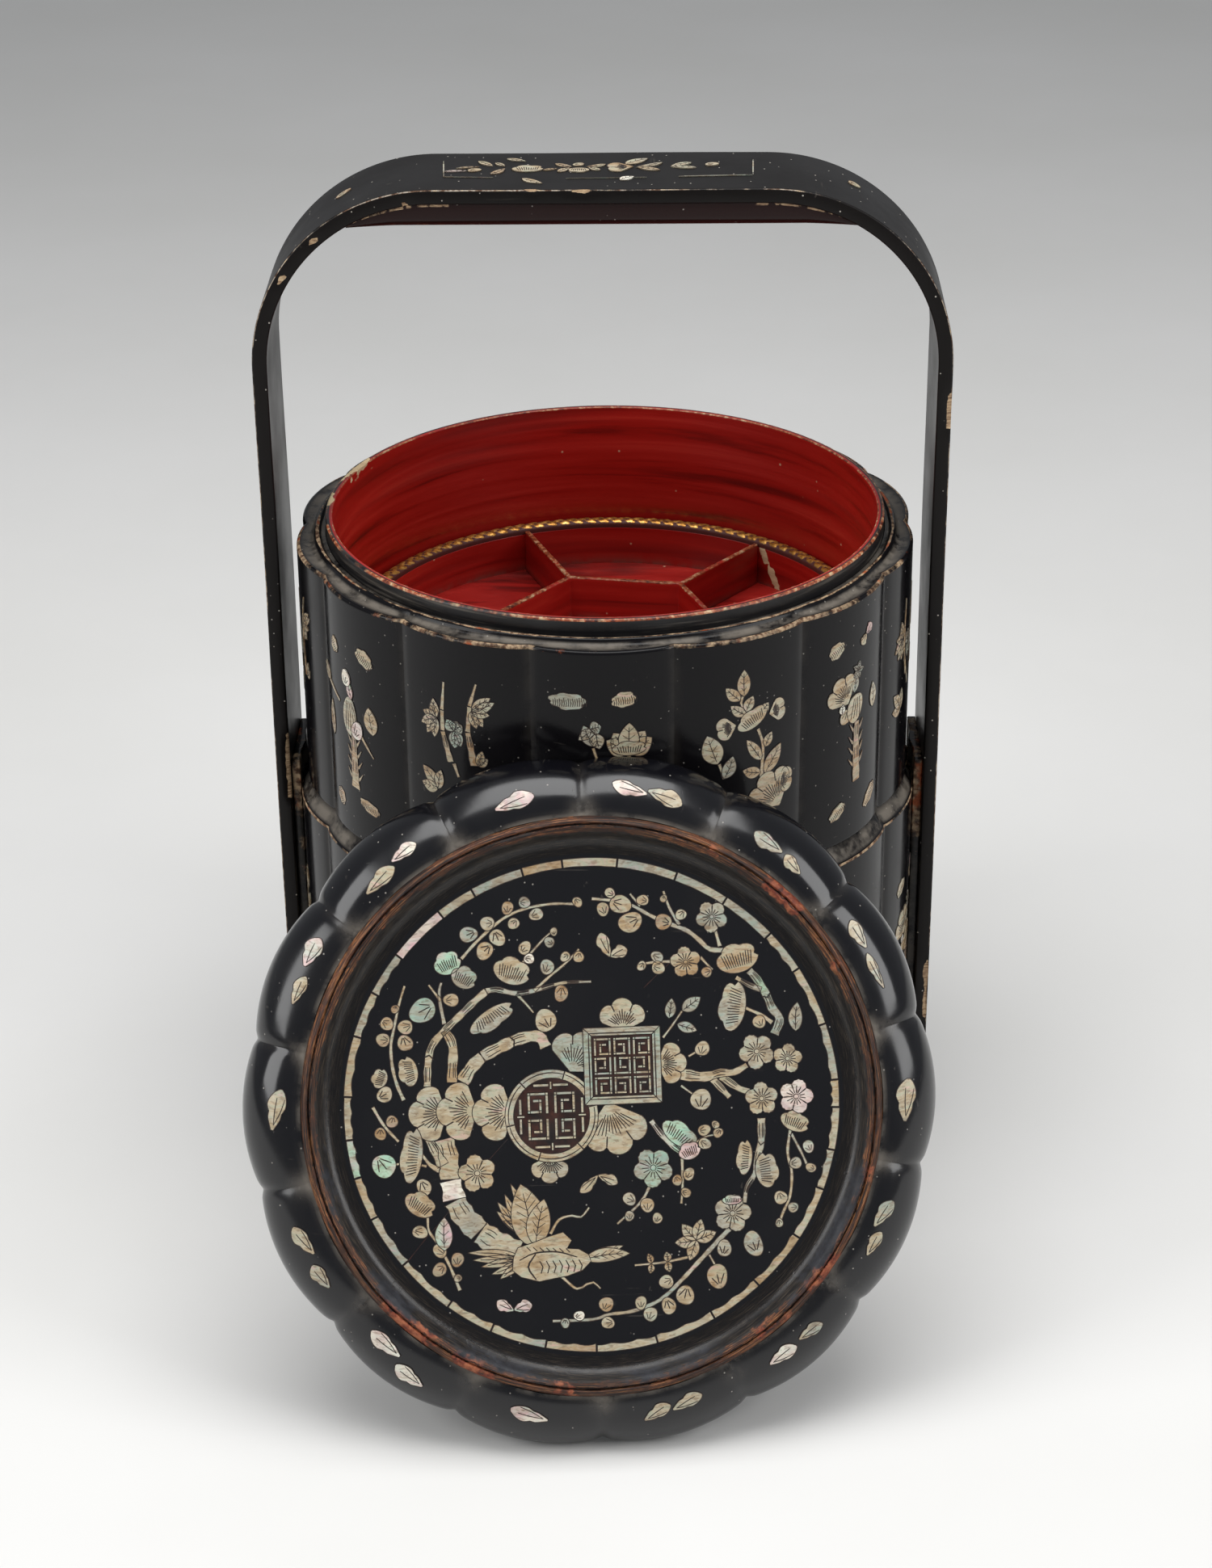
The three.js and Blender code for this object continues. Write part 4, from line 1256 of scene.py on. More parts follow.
class Inlay:
    """Plates and engraved lines. A plate stands proud of its surface, higher in a higher layer."""

    LAYER = 0.03
    PROUD = 0.16

    def __init__(self):
        self.plates = []
        self.lines = []

    def lift(self, layer):
        return self.PROUD + self.LAYER * layer + 0.002 * (len(self.plates) % 6)

    def plate(self, outline, tone, layer=0, material=0):
        height = self.lift(layer)
        outline = [np.array(p, float) for p in outline]
        self.plates.append((outline, tone, height, material))
        if material == 0:
            closed = [*outline, outline[0], outline[1]]
            self.lines.append((*sides_of(closed, [0.34] * len(closed)), height + 0.008))
        return height

    def cut(self, points, height, width=0.3):
        line = smooth_line(points, 1.8)
        widths = [
            width * (0.95 + 0.7 * math.sin(math.pi * (k + 0.6) / (len(line) + 0.2))) for k in range(len(line))
        ]
        self.lines.append((*sides_of(line, widths), height + 0.014))

    def ray(self, x, y, start, end, angle, height, width):
        """A line cut outwards from a middle, between two distances."""
        self.cut([polar(x, y, start, angle), polar(x, y, end, angle)], height, width)

    def blob(self, x, y, long, wide, heading, bumps=0, depth=0.0):
        """A slightly uneven oval, with bumps round it if asked."""
        phase = draw.uniform(0, 6)
        points = []
        for k in range(26):
            angle = 2 * math.pi * k / 26
            grow = 1 + 0.05 * math.sin(2 * angle + phase) + 0.04 * math.sin(3 * angle + 2 * phase)
            grow *= 1 - depth + depth * abs(math.cos(bumps * angle / 2)) if bumps else 1
            across, along = wide / 2 * grow * math.sin(angle), long / 2 * grow * math.cos(angle)
            points.append((
                x + along * math.cos(heading) - across * math.sin(heading),
                y + along * math.sin(heading) + across * math.cos(heading),
            ))
        return points

    def bud(self, x, y, radius, tone=None, stretch=1.12, heading=None, layer=1):
        heading = pick(heading, 0, math.pi * 2)
        tone = pick(tone, 0.08, 0.52)
        height = self.plate(self.blob(x, y, radius * 2 * stretch, radius * 2, heading), tone, layer)
        base = polar(x, y, radius * 0.95, heading + math.pi)
        for side in (-0.55, 0, 0.55):
            near = base + polar(0, 0, radius * 0.25, heading + side)
            far = base + polar(0, 0, radius * draw.uniform(1.0, 1.35), heading + side)
            self.cut([near, far], height, 0.22 if radius < 3 else 0.3)

    def buds(self, *places, **kinds):
        for place in places:
            self.bud(*place, **kinds)

    def leaf(self, start, end, width, tone=None, layer=1, veins=3):
        start, end = np.array(start, float), np.array(end, float)
        along = end - start
        length = np.linalg.norm(along)
        out = left_of(along) / length
        bend = draw.uniform(-0.05, 0.05) * length
        tone = pick(tone, 0.1, 0.5)

        def middle(t):
            return start + along * t + out * bend * math.sin(math.pi * t)

        shares = np.linspace(0, 1, 13)
        half = [width / 2 * math.sin(math.pi * t ** 0.85) ** 0.8 if 0 < t < 1 else 0.06 for t in shares]
        left = [middle(t) + out * h for t, h in zip(shares, half)]
        right = [middle(t) - out * h for t, h in zip(shares, half)]
        height = self.plate(right + left[::-1], tone, layer)
        self.cut([middle(0.08), middle(0.5), middle(0.85)], height, 0.24)
        for k in range(veins):
            t = 0.2 + 0.5 * k / max(veins - 1, 1)
            for side in (-1, 1):
                reach = width * 0.3 * math.sin(math.pi * t)
                self.cut([middle(t), middle(t + 0.14) + out * side * reach], height, 0.18)

    def leaves(self, *places, **kinds):
        for place in places:
            self.leaf(*place, **kinds)

    def branch(self, points, wide, narrow, tone=None, layer=0, joints=()):
        line = smooth_line(points, 1.6)
        count = len(line)
        tone = pick(tone, 0.22, 0.46)
        widths = [
            (wide + (narrow - wide) * k / (count - 1)) * (1 + 0.09 * math.sin(k * 1.7 + wide))
            for k in range(count)
        ]
        left, right = sides_of(line, widths)
        height = self.plate(right + left[::-1], tone, layer)
        if max(wide, narrow) > 2.2:
            for side in (-0.25, 0.12, 0.3):
                for start in range(1, count - 4, 6):
                    stretch = line[start : start + 4]
                    off = [p + (l - p) * 2 * side for p, l in zip(stretch, left[start : start + 4])]
                    self.cut(off, height, 0.24)
            for joint in joints:
                k = min(range(count), key=lambda i: np.linalg.norm(line[i] - np.array(joint)))
                self.cut(
                    [left[k], line[k] + (line[min(k + 1, count - 1)] - line[k]) * 0.6, right[k]], height, 0.4
                )
        return line

    def blossom(self, x, y, radius, tone=None, turn=None, layer=2):
        """A five-petalled blossom seen from the front."""
        turn = pick(turn, 0, 1.2)
        tone = pick(tone, 0.18, 0.44)
        points = []
        for k in range(50):
            angle = 2 * math.pi * k / 50
            off = (angle + math.pi / 5) % (2 * math.pi / 5) - math.pi / 5
            far = 0.56 * radius * math.cos(off) + math.sqrt(
                (0.44 * radius) ** 2 - (0.56 * radius * math.sin(off)) ** 2
            )
            points.append(polar(x, y, far * (1 + 0.02 * math.sin(3 * k)), angle + turn))
        height = self.plate(points, tone, layer)
        for k in range(15):
            angle = turn + 2 * math.pi * (k + 0.5) / 15
            self.ray(x, y, radius * 0.2, radius * draw.uniform(0.48, 0.62), angle, height, 0.26)
        for k in range(5):
            angle = turn + math.pi / 5 + 2 * math.pi * k / 5
            self.ray(x, y, radius * 0.5, radius * 0.72, angle, height, 0.34)
        ring = [polar(x, y, radius * 0.15, a) for a in np.linspace(0, 2 * math.pi, 9)]
        self.cut(ring, height, 0.24)

    def fan(self, base, reach, heading, spread=150, petals=3, tone=None, layer=2, rays=13):
        """A blossom seen from the side, opening from its base."""
        x, y = base
        heading, spread = math.radians(heading), math.radians(spread)
        tone = pick(tone, 0.2, 0.42)
        points = [polar(x, y, reach * 0.13, heading + math.pi)]
        for k in range(31):
            share = k / 30
            scallop = 1 - 0.16 * (1 - abs(math.sin(math.pi * share * petals)) ** 0.6)
            edge = 0.62 + 0.38 * math.sin(math.pi * min(1, max(0, 0.14 + 0.72 * share))) ** 0.7
            points.append(polar(x, y, reach * scallop * edge, heading + spread * (share - 0.5)))
        height = self.plate(points, tone, layer)
        for k in range(rays):
            angle = heading + spread * 0.84 * ((k + 0.5) / rays - 0.5)
            start = 0.16 if k % 2 else 0.26
            self.ray(x, y, reach * start, reach * draw.uniform(0.5, 0.66), angle, height, 0.28)
        for k in range(1, petals):
            angle = heading + spread * (k / petals - 0.5)
            self.ray(x, y, reach * 0.6, reach * 0.82, angle, height, 0.36)

    def side_blossom(self, x, y, long, wide, tilt, tone=None, layer=2, flip=1):
        """A half-open blossom: a long oval whose one side is cut into petals."""
        tilt = math.radians(tilt)
        tone = pick(tone, 0.16, 0.44)
        along, across = axes(tilt)
        across = across * flip
        middle = np.array((x, y), float)
        points = []
        for k in range(30):
            angle = 2 * math.pi * k / 30
            grow = 1 - (0.17 * (1 - abs(math.sin(2.5 * angle))) if angle < math.pi else -0.02)
            off = along * long / 2 * math.cos(angle) * grow
            points.append(middle + off + across * wide / 2 * math.sin(angle) * grow)
        height = self.plate(points, tone, layer)
        rays = 5 + int(long / 2.4)
        for k in range(rays):
            place = (k + 0.5) / rays - 0.5
            start = middle + along * long * 0.62 * place - across * wide * 0.30
            end = start + along * long * 0.16 * place + across * wide * draw.uniform(0.36, 0.5)
            self.cut([start, end], height, 0.26)

    def cloud(self, spot, long, wide, tilt, tone=None, layer=0):
        x, y = spot
        tilt = math.radians(tilt)
        tone = pick(tone, 0.12, 0.42)
        height = self.plate(self.blob(x, y, long, wide, tilt, 7, 0.16), tone, layer)
        along, across = axes(tilt)
        middle = np.array((x, y))
        for k in range(int(long / 0.95)):
            at = middle + along * (k * 0.9 - long * 0.38) - across * wide * 0.3
            end = at + along * 0.2 + across * wide * draw.uniform(0.34, 0.5)
            self.cut([at, at + along * 0.35 + across * wide * 0.2, end], height, 0.22)

    def wing(self, start, end, width, tone=None, layer=1):
        """A butterfly's wing: round at one end, drawn out at the other, with a notch."""
        start, end = np.array(start, float), np.array(end, float)
        along = end - start
        length = np.linalg.norm(along)
        out = left_of(along) / length
        tone = draw.choice((0.3, 0.36, 0.95, 0.9, 0.4)) if tone is None else tone
        shares = np.linspace(0, 1, 15)
        notch = [1 - 0.22 * math.exp(-((t - 0.42) / 0.09) ** 2) for t in shares]
        half = [width / 2 * (0.16 + math.sin(math.pi * t ** 1.35) ** 0.75) * n for t, n in zip(shares, notch)]
        left = [start + along * t + out * h for t, h in zip(shares, half)]
        right = [start + along * t - out * h * 0.72 for t, h in zip(shares, half)]
        height = self.plate(right + left[::-1], tone, layer)
        for side in (-0.2, 0.1):
            bent = start + along * 0.45 + out * width * side
            self.cut(
                [start + along * 0.12, bent, start + along * 0.78 + out * width * side * 1.4], height, 0.24
            )

    def thorned(self, points, wide, narrow, tone, thorn=4.6):
        """An upright stem with short side spines, as on a palm."""
        line = self.branch(points, wide, narrow, tone, 1)
        for k in range(3, len(line) - 2, 3):
            ahead = line[k] - line[k - 1]
            ahead = ahead / np.linalg.norm(ahead)
            out = left_of(ahead)
            for side in (-1, 1):
                half = (wide + (narrow - wide) * k / len(line)) / 2
                root = line[k] + out * side * half * 0.5
                tip = line[k] - ahead * thorn + out * side * (half + thorn * 0.62)
                self.branch([root, (root + tip) / 2 + ahead * 0.5, tip], 1.7, 0.4, tone + 0.06, 0)


def flat_parts(outline, split):
    """A closed outline filled with triangles, cut along a grid where the surface is curved."""
    grid = bmesh.new()
    corners = [grid.verts.new((p[0], p[1], 0)) for p in outline]
    grid.faces.new(corners)
    bmesh.ops.remove_doubles(grid, verts=grid.verts, dist=0.02)
    bmesh.ops.triangulate(grid, faces=grid.faces)
    if split:
        for axis in (0, 1):
            values = [v.co[axis] for v in grid.verts]
            normal = (1, 0, 0) if axis == 0 else (0, 1, 0)
            for k in range(math.ceil(min(values) / split), math.floor(max(values) / split) + 1):
                place = (k * split, 0, 0) if axis == 0 else (0, k * split, 0)
                geometry = grid.verts[:] + grid.edges[:] + grid.faces[:]
                bmesh.ops.bisect_plane(grid, geom=geometry, plane_co=place, plane_no=normal)
    bmesh.ops.triangulate(grid, faces=grid.faces)
    for face in grid.faces:
        if face.normal.z < 0:
            face.normal_flip()
    grid.verts.index_update()
    points = [(v.co.x, v.co.y) for v in grid.verts]
    faces = [tuple(v.index for v in f.verts) for f in grid.faces if f.calc_area() > 1e-5]
    rim = {}
    for face in faces:
        for a, b in zip(face, face[1:] + face[:1]):
            rim[(a, b)] = True
    edges = [(a, b) for a, b in rim if (b, a) not in rim]
    grid.free()
    return points, faces, edges


def build_inlay(name, ink, place, body, split, *nodes):
    """Makes one mesh of an inlay's plates and engraved lines, laid on a surface."""
    points, faces, finishes, tones = [], [], [], []

    def add_slab(flat, tops, edges, low, high, tone, finish):
        start, count = len(points), len(flat)
        points.extend((x, y, high) for x, y in flat)
        points.extend((x, y, low) for x, y in flat)
        tones.extend([tone] * (2 * count))
        made = [tuple(start + k for k in face) for face in tops]
        made += [tuple(start + count + k for k in face[::-1]) for face in tops]
        made += [(start + b, start + a, start + count + a, start + count + b) for a, b in edges]
        faces.extend(made)
        finishes.extend([finish] * len(made))

    for outline, tone, height, finish in ink.plates:
        flat, tops, edges = flat_parts(outline, split)
        add_slab(flat, tops, edges, -0.25, height, tone, finish)
    for left, right, height in ink.lines:
        flat = [tuple(p) for pair in zip(left, right) for p in pair]
        tops = [(2 * k, 2 * k + 1, 2 * k + 3, 2 * k + 2) for k in range(len(left) - 1)]
        last = len(flat) - 1
        edges = [(2 * k + 1, 2 * k + 3) for k in range(len(left) - 1)]
        edges += [(2 * k + 2, 2 * k) for k in range(len(left) - 1)] + [(0, 1), (last, last - 1)]
        add_slab(flat, tops, edges, height - 0.05, height, 0.0, 1)
    piece = from_parts(name, place(np.array(points)), faces)
    mark(piece.data, "tone", tones)
    paint_piece(piece, SHELL, ENGRAVED, FRET_GROUND)
    piece.data.polygons.foreach_set("material_index", finishes)
    piece.data.update()
    fit(piece, body, "shell_inlay", *nodes)


# Where an inlay lies


def on_panel(places):
    return (places + np.array((0, 0, PANEL_TOP))) @ LID_TURN + np.array(LID_ORIGIN)


def rim_angle(radius, turn):
    """The angle of the rim's curve at a radius, by halving."""
    low, high = np.full(len(radius), 0.05), np.full(len(radius), math.pi / 2)
    dip = lobe_dip(turn, LID, HALF_LOBE)
    for _ in range(22):
        middle = (low + high) / 2
        across = 1 - np.cos(middle)
        here = LID - across * LID_SWEEP - (1 - LID_SHARE_LOSS * across ** 2) * dip
        low, high = np.where(here > radius, middle, low), np.where(here > radius, high, middle)
    return (low + high) / 2


def on_rim(places):
    radius, turn = round_places(places)
    angle = rim_angle(radius, turn)
    across = 1 - np.cos(angle)
    height = LID_RIM_TOP * np.sin(angle) - LID_SINK * across * lobe_dip(turn, LID, HALF_LOBE)
    lift = places[:, 2]
    out = np.cos(angle)
    local = np.column_stack((
        places[:, 0] + lift * out * np.sin(turn),
        places[:, 1] - lift * out * np.cos(turn),
        height + lift * np.sin(angle),
    ))
    return local @ LID_TURN + np.array(LID_ORIGIN)


def on_wall(crest):
    def place(places):
        turn = places[:, 0] / crest
        radius = crest - lobe_dip(turn, crest) + places[:, 2]
        return np.column_stack((radius * np.sin(turn), -radius * np.cos(turn), places[:, 1]))
    return place


def on_handle(places):
    """Places along and across the handle's top, which bends down past its straight part."""
    made = []
    for x, y, lift in places:
        turn = max(0.0, abs(x) - STRAIGHT) / CORNER
        out = CORNER + lift + 0.04
        side = math.copysign(min(abs(x), STRAIGHT) + out * math.sin(turn), x)
        place = Vector((side, y, SPRINGING + out * math.cos(turn)))
        place.z += 0.4 * noise.noise(place * MM * 13 + Vector((0, 0, 7)))
        made.append(tuple(place))
    return np.array(made)


# From pixels of the photograph to a surface's own millimetres


def lid_spot(pixel):
    """Across and up the lid, for a pixel that shows its rim."""
    ray = seen_from_camera(pixel)
    height = 17.0
    for _ in range(6):
        away = (height - (CAMERA_PLACE - LID_ORIGIN).dot(LID_NORMAL)) / ray.dot(LID_NORMAL)
        local = CAMERA_PLACE + ray * away - LID_ORIGIN
        u, v = local.dot(LID_ACROSS), local.dot(LID_UP)
        radius = np.array([min(138.0, max(116.0, math.hypot(u, v)))])
        height = float(LID_RIM_TOP * np.sin(rim_angle(radius, np.array([math.atan2(u, -v)])))[0])
    return u, v


def way_to_round(start, way, radius):
    """How far a line of sight goes before it meets a round form, with both seen end-on."""
    a = way[0] ** 2 + way[1] ** 2
    b = 2 * (start[0] * way[0] + start[1] * way[1])
    c = start[0] ** 2 + start[1] ** 2 - radius ** 2
    return (-b - math.sqrt(max(b * b - 4 * a * c, 0))) / (2 * a)


def handle_spot(pixel):
    """Along and across the handle's top, for a pixel that shows it."""
    place = on_level(pixel, HANDLE_TOP)
    if abs(place.x) < STRAIGHT:
        return np.array((place.x, place.y))
    ray = seen_from_camera(pixel)
    side = math.copysign(1, place.x)
    start = (CAMERA_PLACE.x - side * STRAIGHT, CAMERA_PLACE.z - SPRINGING)
    place = CAMERA_PLACE + ray * way_to_round(start, (ray.x, ray.z), CORNER)
    turn = math.atan2(abs(place.x) - STRAIGHT, place.z - SPRINGING)
    return np.array((side * (STRAIGHT + CORNER * turn), place.y))


def wall_spot(pixel):
    """Round and up the upper tier's wall, for a pixel that shows it."""
    ray = seen_from_camera(pixel)
    radius = TIER - 1
    for _ in range(6):
        place = CAMERA_PLACE + ray * way_to_round(CAMERA_PLACE, ray, radius)
        turn = math.atan2(place.x, -place.y)
        radius = TIER - float(lobe_dip(np.array([turn]), TIER)[0])
    return turn * TIER, place.z


# The lid's picture: places and sizes in millimetres across and up the panel


def draw_upper_left(ink):
    ink.branch([
        (-49.9, 60.2), (-44.9, 65.6), (-38.2, 71.6), (-31.6, 76.3), (-24, 79.2), (-13.9, 80.7), (-4.5, 80.4)
    ], 1.4, 1.1)
    ink.buds(
        (-46.8, 69.8, 3.2), (-39.2, 73.9, 2.7), (-35.4, 68.1, 3.1), (-40.6, 63.1, 3.3), (-31, 79.8, 2.4),
        (-28.8, 73.5, 2.2), (-24.2, 81.7, 2.2), (-19.7, 76.8, 2.5), (-3.2, 81.1, 1.9)
    )
    ink.side_blossom(-55.6, 59, 11, 9.5, 20, 0.8)
    ink.side_blossom(-49, 53, 10.5, 9, -30, 0.56)
    ink.branch([(-27.2, 56.1), (-21.5, 62.4), (-16.5, 67.5), (-13.3, 70)], 1.2, 0.8)
    ink.buds((-24.7, 63.7, 2.5), (-23.1, 59.3, 2, 1.0), (-14.9, 65.6, 2), (-13, 69.7, 1.5))
    ink.side_blossom(-30, 54.9, 15, 11, -20)
    ink.branch([
        (-65.1, 10), (-64.5, 19.5), (-62.6, 26.4), (-57.5, 32.1), (-51.2, 37.8), (-44.9, 43.5), (-40.5, 47)
    ], 3.0, 2.8, 0.4, joints=[(-64, 22)])
    ink.branch([(-40.5, 47), (-36.7, 47.6), (-28.5, 45.7), (-21.5, 46.6), (-10.1, 49.2), (1.2, 49.3)], 2.4, 0.9)
    ink.branch([(-21.5, 46.6), (-15.2, 52), (-8.3, 57.4), (-3.2, 62.4)], 1.3, 0.9)
    ink.buds((-16.1, 55.8, 2.8), (-8.8, 59.6, 1.9), (-3.5, 59.3, 2.1), (-10.9, 45.1, 2.9))
    ink.branch([(-28.5, 45.4), (-25, 41.5), (-22.1, 37.8)], 1.4, 0.7)
    ink.branch([(-57.5, 34.6), (-58.8, 42.2), (-59.1, 47.9), (-58.1, 51.1)], 1.7, 1.0)
    ink.branch([(-58.6, 44), (-61, 47.3), (-63.2, 50.4)], 1.3, 0.8)
    ink.buds((-54.5, 44.1, 2.7), (-66, 40.3, 4.8, 0.66))
    ink.branch([(-57.5, 32.1), (-55, 27.7), (-54.4, 23.3), (-55, 17), (-55.3, 11.3)], 3.6, 4.0, 0.26)
    ink.branch([
        (-72.7, 50.4), (-75.2, 42.9), (-77.4, 34), (-78.9, 27.1), (-78.7, 18.9), (-77.1, 11.3), (-74.6, 5)
    ], 1.0, 1.6)
    ink.buds(
        (-76.8, 41.3, 1.6), (-80.2, 35.6, 2.5), (-82, 29.3, 2.6), (-73, 34, 2.8), (-73.3, 27.7, 3), tone=0.08
    )
    ink.side_blossom(-84, 14.1, 8, 6.5, 70)
    ink.bud(-82.1, 7.5, 3)
    ink.side_blossom(-72.7, 16.3, 12, 8, 100)
    ink.side_blossom(-38.6, 35.9, 20, 8, 32, 0.44, flip=-1)
    ink.bud(-17.4, 34.6, 4.2, 0.4, layer=2)
    ink.branch([(-51.2, 11.3), (-47.4, 17), (-43, 21.1)], 5.6, 4.8, 0.3)
    ink.branch(
        [(-43, 21.1), (-36, 24.5), (-27.8, 27.7), (-20.3, 28.3), (-17.7, 23.9)], 4.8, 4.6, 0.36,
        joints=[(-31, 26.5)]
    )


def draw_middle(ink):
    for base, reach, heading, spread, tone, layer in (
        ((-7.5, 15.5), 15, 62, 150, 0.52, 1), ((-59.5, -0.8), 13.6, 180, 166, 0.34, 1),
        ((-47.6, -0.3), 14.4, 180, 166, 0.3, 2), ((-33.6, -1.2), 14.2, 180, 166, 0.34, 3),
        ((13.1, 30.4), 12, 90, 150, 0.34, 1), ((27.4, 15.7), 10.8, 0, 150, 0.28, 1),
        ((6.5, -1.0), 19.5, 285, 118, 0.32, 1), ((-17.6, -20.6), 9.8, 268, 150, 0.46, 1),
    ):
        ink.fan(base, reach, heading, spread, 3, tone, layer)
    draw_medallion(ink, (-16.3, -3.5), 18.5)
    draw_square(ink, (12.5, 15.5), 30.7)


def band(centre, inner, outer, start, end):
    angles = np.radians(np.linspace(start, end, max(4, int(abs(end - start) / 3))))
    return [polar(*centre, outer, a) for a in angles] + [polar(*centre, inner, a) for a in angles[::-1]]


def bar(start, end, width):
    start, end = np.array(start, float), np.array(end, float)
    along = (end - start) / np.linalg.norm(end - start)
    out = left_of(along) * width / 2
    start, end = start - along * width / 2, end + along * width / 2
    return [start - out, end - out, end + out, start + out]


def key_fret(ink, origin, size, width, flips, layer):
    """A square spiral of bars, the plain key of a border fret."""
    turns = [(0, 0), (0, 1), (1, 1), (1, 0), (0.36, 0), (0.36, 0.62), (0.68, 0.62)]
    places = [np.array(origin) + np.array((x - 0.5, y - 0.5)) * size * np.array(flips) for x, y in turns]
    for k, (start, end) in enumerate(zip(places, places[1:])):
        outline = bar(start, end, width)
        ink.plate(outline, draw.uniform(0.3, 0.5), layer + 0.15 * (k % 2))


def draw_medallion(ink, centre, radius):
    ink.plate([polar(*centre, radius - 0.3, a) for a in np.linspace(0, 2 * math.pi, 61)[:-1]], 0.3, 3.2, 2)
    for k in range(6):
        start = 12 + 60 * k
        ink.plate(band(centre, radius - 3.4, radius, start, start + 59.2), draw.uniform(0.3, 0.44), 4)
        ink.cut([
            polar(*centre, radius - 1.3, math.radians(a)) for a in np.linspace(start + 1, start + 58, 9)
        ], ink.lift(4) + 0.012, 0.28)
    x, y = centre
    for right in (-1, 1):
        for up in (-1, 1):
            key_fret(ink, (x + right * 5.3, y + up * 5.3), 7.2, 1.15, (right, up), 4)
            ink.plate(bar((x + right * 12.3, y + up * 1.5), (x + right * 12.3, y + up * 6.3), 1.15), 0.4, 4)
            ink.plate(bar((x + right * 1.5, y + up * 12.3), (x + right * 6.3, y + up * 12.3), 1.15), 0.4, 4)
    for way in (0, 90, 180, 270):
        angle = math.radians(way)
        ink.plate(bar(polar(x, y, 11.2, angle), polar(x, y, 13.2, angle), 0.9), 0.4, 4)


def draw_square(ink, centre, side):
    x, y = centre
    half, inner = side / 2, side / 2 - 3.3
    ink.plate([
        (x - half + 0.2, y - half + 0.2), (x + half - 0.2, y - half + 0.2), (x + half - 0.2, y + half - 0.2),
        (x - half + 0.2, y + half - 0.2)
    ], 0.3, 6, 2)
    for quarter in range(4):
        turn = quarter * math.pi / 2
        spin = np.array(((math.cos(turn), -math.sin(turn)), (math.sin(turn), math.cos(turn))))
        strip = [(-half + 0.12, half), (half - 0.12, half), (inner - 0.12, inner), (-inner + 0.12, inner)]
        height = ink.plate([spin @ np.array(p) + centre for p in strip][::-1], 0.44 + 0.12 * (quarter % 2), 7)
        line = [(-inner - 0.9, inner + 1.1), (0, inner + 1.1), (inner + 0.9, inner + 1.1)]
        ink.cut([spin @ np.array(p) + centre for p in line], height, 0.34)
    for column in (-1, 0, 1):
        for row in (-1, 0, 1):
            flips = (1 if (column + row) % 2 == 0 else -1, 1 if row != 0 else -1)
            key_fret(ink, (x + column * 7.75, y + row * 7.75), 5.9, 1.0, flips, 7)


def draw_upper_right(ink):
    ink.branch([
        (2.5, 82.2), (10.4, 81.2), (17.7, 79.3), (26.3, 74.3), (34.3, 70.6), (40.2, 68), (44.9, 64),
        (48.9, 60.4), (56.8, 59.7)
    ], 1.2, 2.1)
    ink.branch([(31, 84.2), (33.3, 77.3), (36.9, 70.6)], 1.0, 1.4)
    ink.branch([(17.7, 83.6), (21.7, 78.6)], 0.9, 1.1)
    ink.branch([(51.2, 67.7), (52.8, 61.4)], 1.2, 1.6)
    ink.buds(
        (6.8, 77.9, 2.5), (13.8, 79.6, 3.8), (9.8, 84.2, 2), (22.7, 80.9, 2.2), (17.5, 72.3, 4.2, 0.12),
        (30.6, 72, 3.1), (37.7, 74.6, 2.1), (31, 81.2, 1.4)
    )
    ink.blossom(49.9, 73.3, 6.4, 0.46)
    ink.wing((9, 59), (5.5, 68.5), 5.5, 0.22)
    ink.wing((9, 59), (16, 61.5), 5.5, 0.3)
    ink.branch([(20, 55.4), (27, 56.1), (33, 56.1)], 1.1, 1.3)
    ink.buds((27.7, 58.1, 2.3, 0.5), (28, 53.8, 2.5), (21.4, 54.8, 1.8), (47.2, 51.4, 2, 0.1))
    ink.blossom(38.9, 55.7, 6.2, 0.2)
    ink.branch([(44.9, 57.4), (49.5, 52.1)], 1.2, 1.0)
    ink.side_blossom(59.5, 56.7, 17, 12, 14, 0.2)
    ink.branch(
        [(64.1, 51.4), (67.4, 47.5), (70.7, 41.5), (72.7, 36.2), (75.7, 31.6), (73.4, 25.6)], 3.0, 3.6, 0.6,
        joints=[(70.7, 41.5)]
    )
    ink.branch([(58.8, 48.8), (64.1, 45.5), (68.7, 43.5)], 1.6, 2.4)
    ink.branch([(62.1, 36.5), (68.1, 33.6), (72.7, 30.2)], 1.2, 1.8)
    ink.bud(67.5, 30.8, 2.5)
    ink.side_blossom(56.8, 37.5, 20, 11, 80)
    ink.blossom(66.1, 19, 7.2, 0.48)
    ink.leaf((82, 26.5), (83, 38), 5.6, 0.5)
    ink.blossom(78.3, 15.7, 6.0, 0.34)
    ink.branch([(29, 25.9), (33, 30.9), (36.9, 36.2)], 1.0, 0.8)
    ink.leaves(
        ((31.6, 33.5), (33, 41.5), 4.4), ((37, 36.4), (44.4, 41.5), 5.4), ((34.8, 31), (42.6, 28.2), 4.4),
        tone=0.5
    )
    ink.branch([(38.9, 18), (42.5, 20)], 0.9, 0.9)
    ink.bud(44.5, 21, 2.8)
    ink.branch([(35.6, 11), (44.9, 9.7), (51.5, 11), (56.8, 11), (62.1, 13.7)], 4.8, 2.2, 0.3)
    ink.branch([(51.5, 9.7), (58.8, 4.4), (62.8, 3.1)], 3.4, 2.2, 0.26)
    ink.branch([(48.2, 8.7), (54.8, 1.1)], 3.2, 2.0, 0.3)


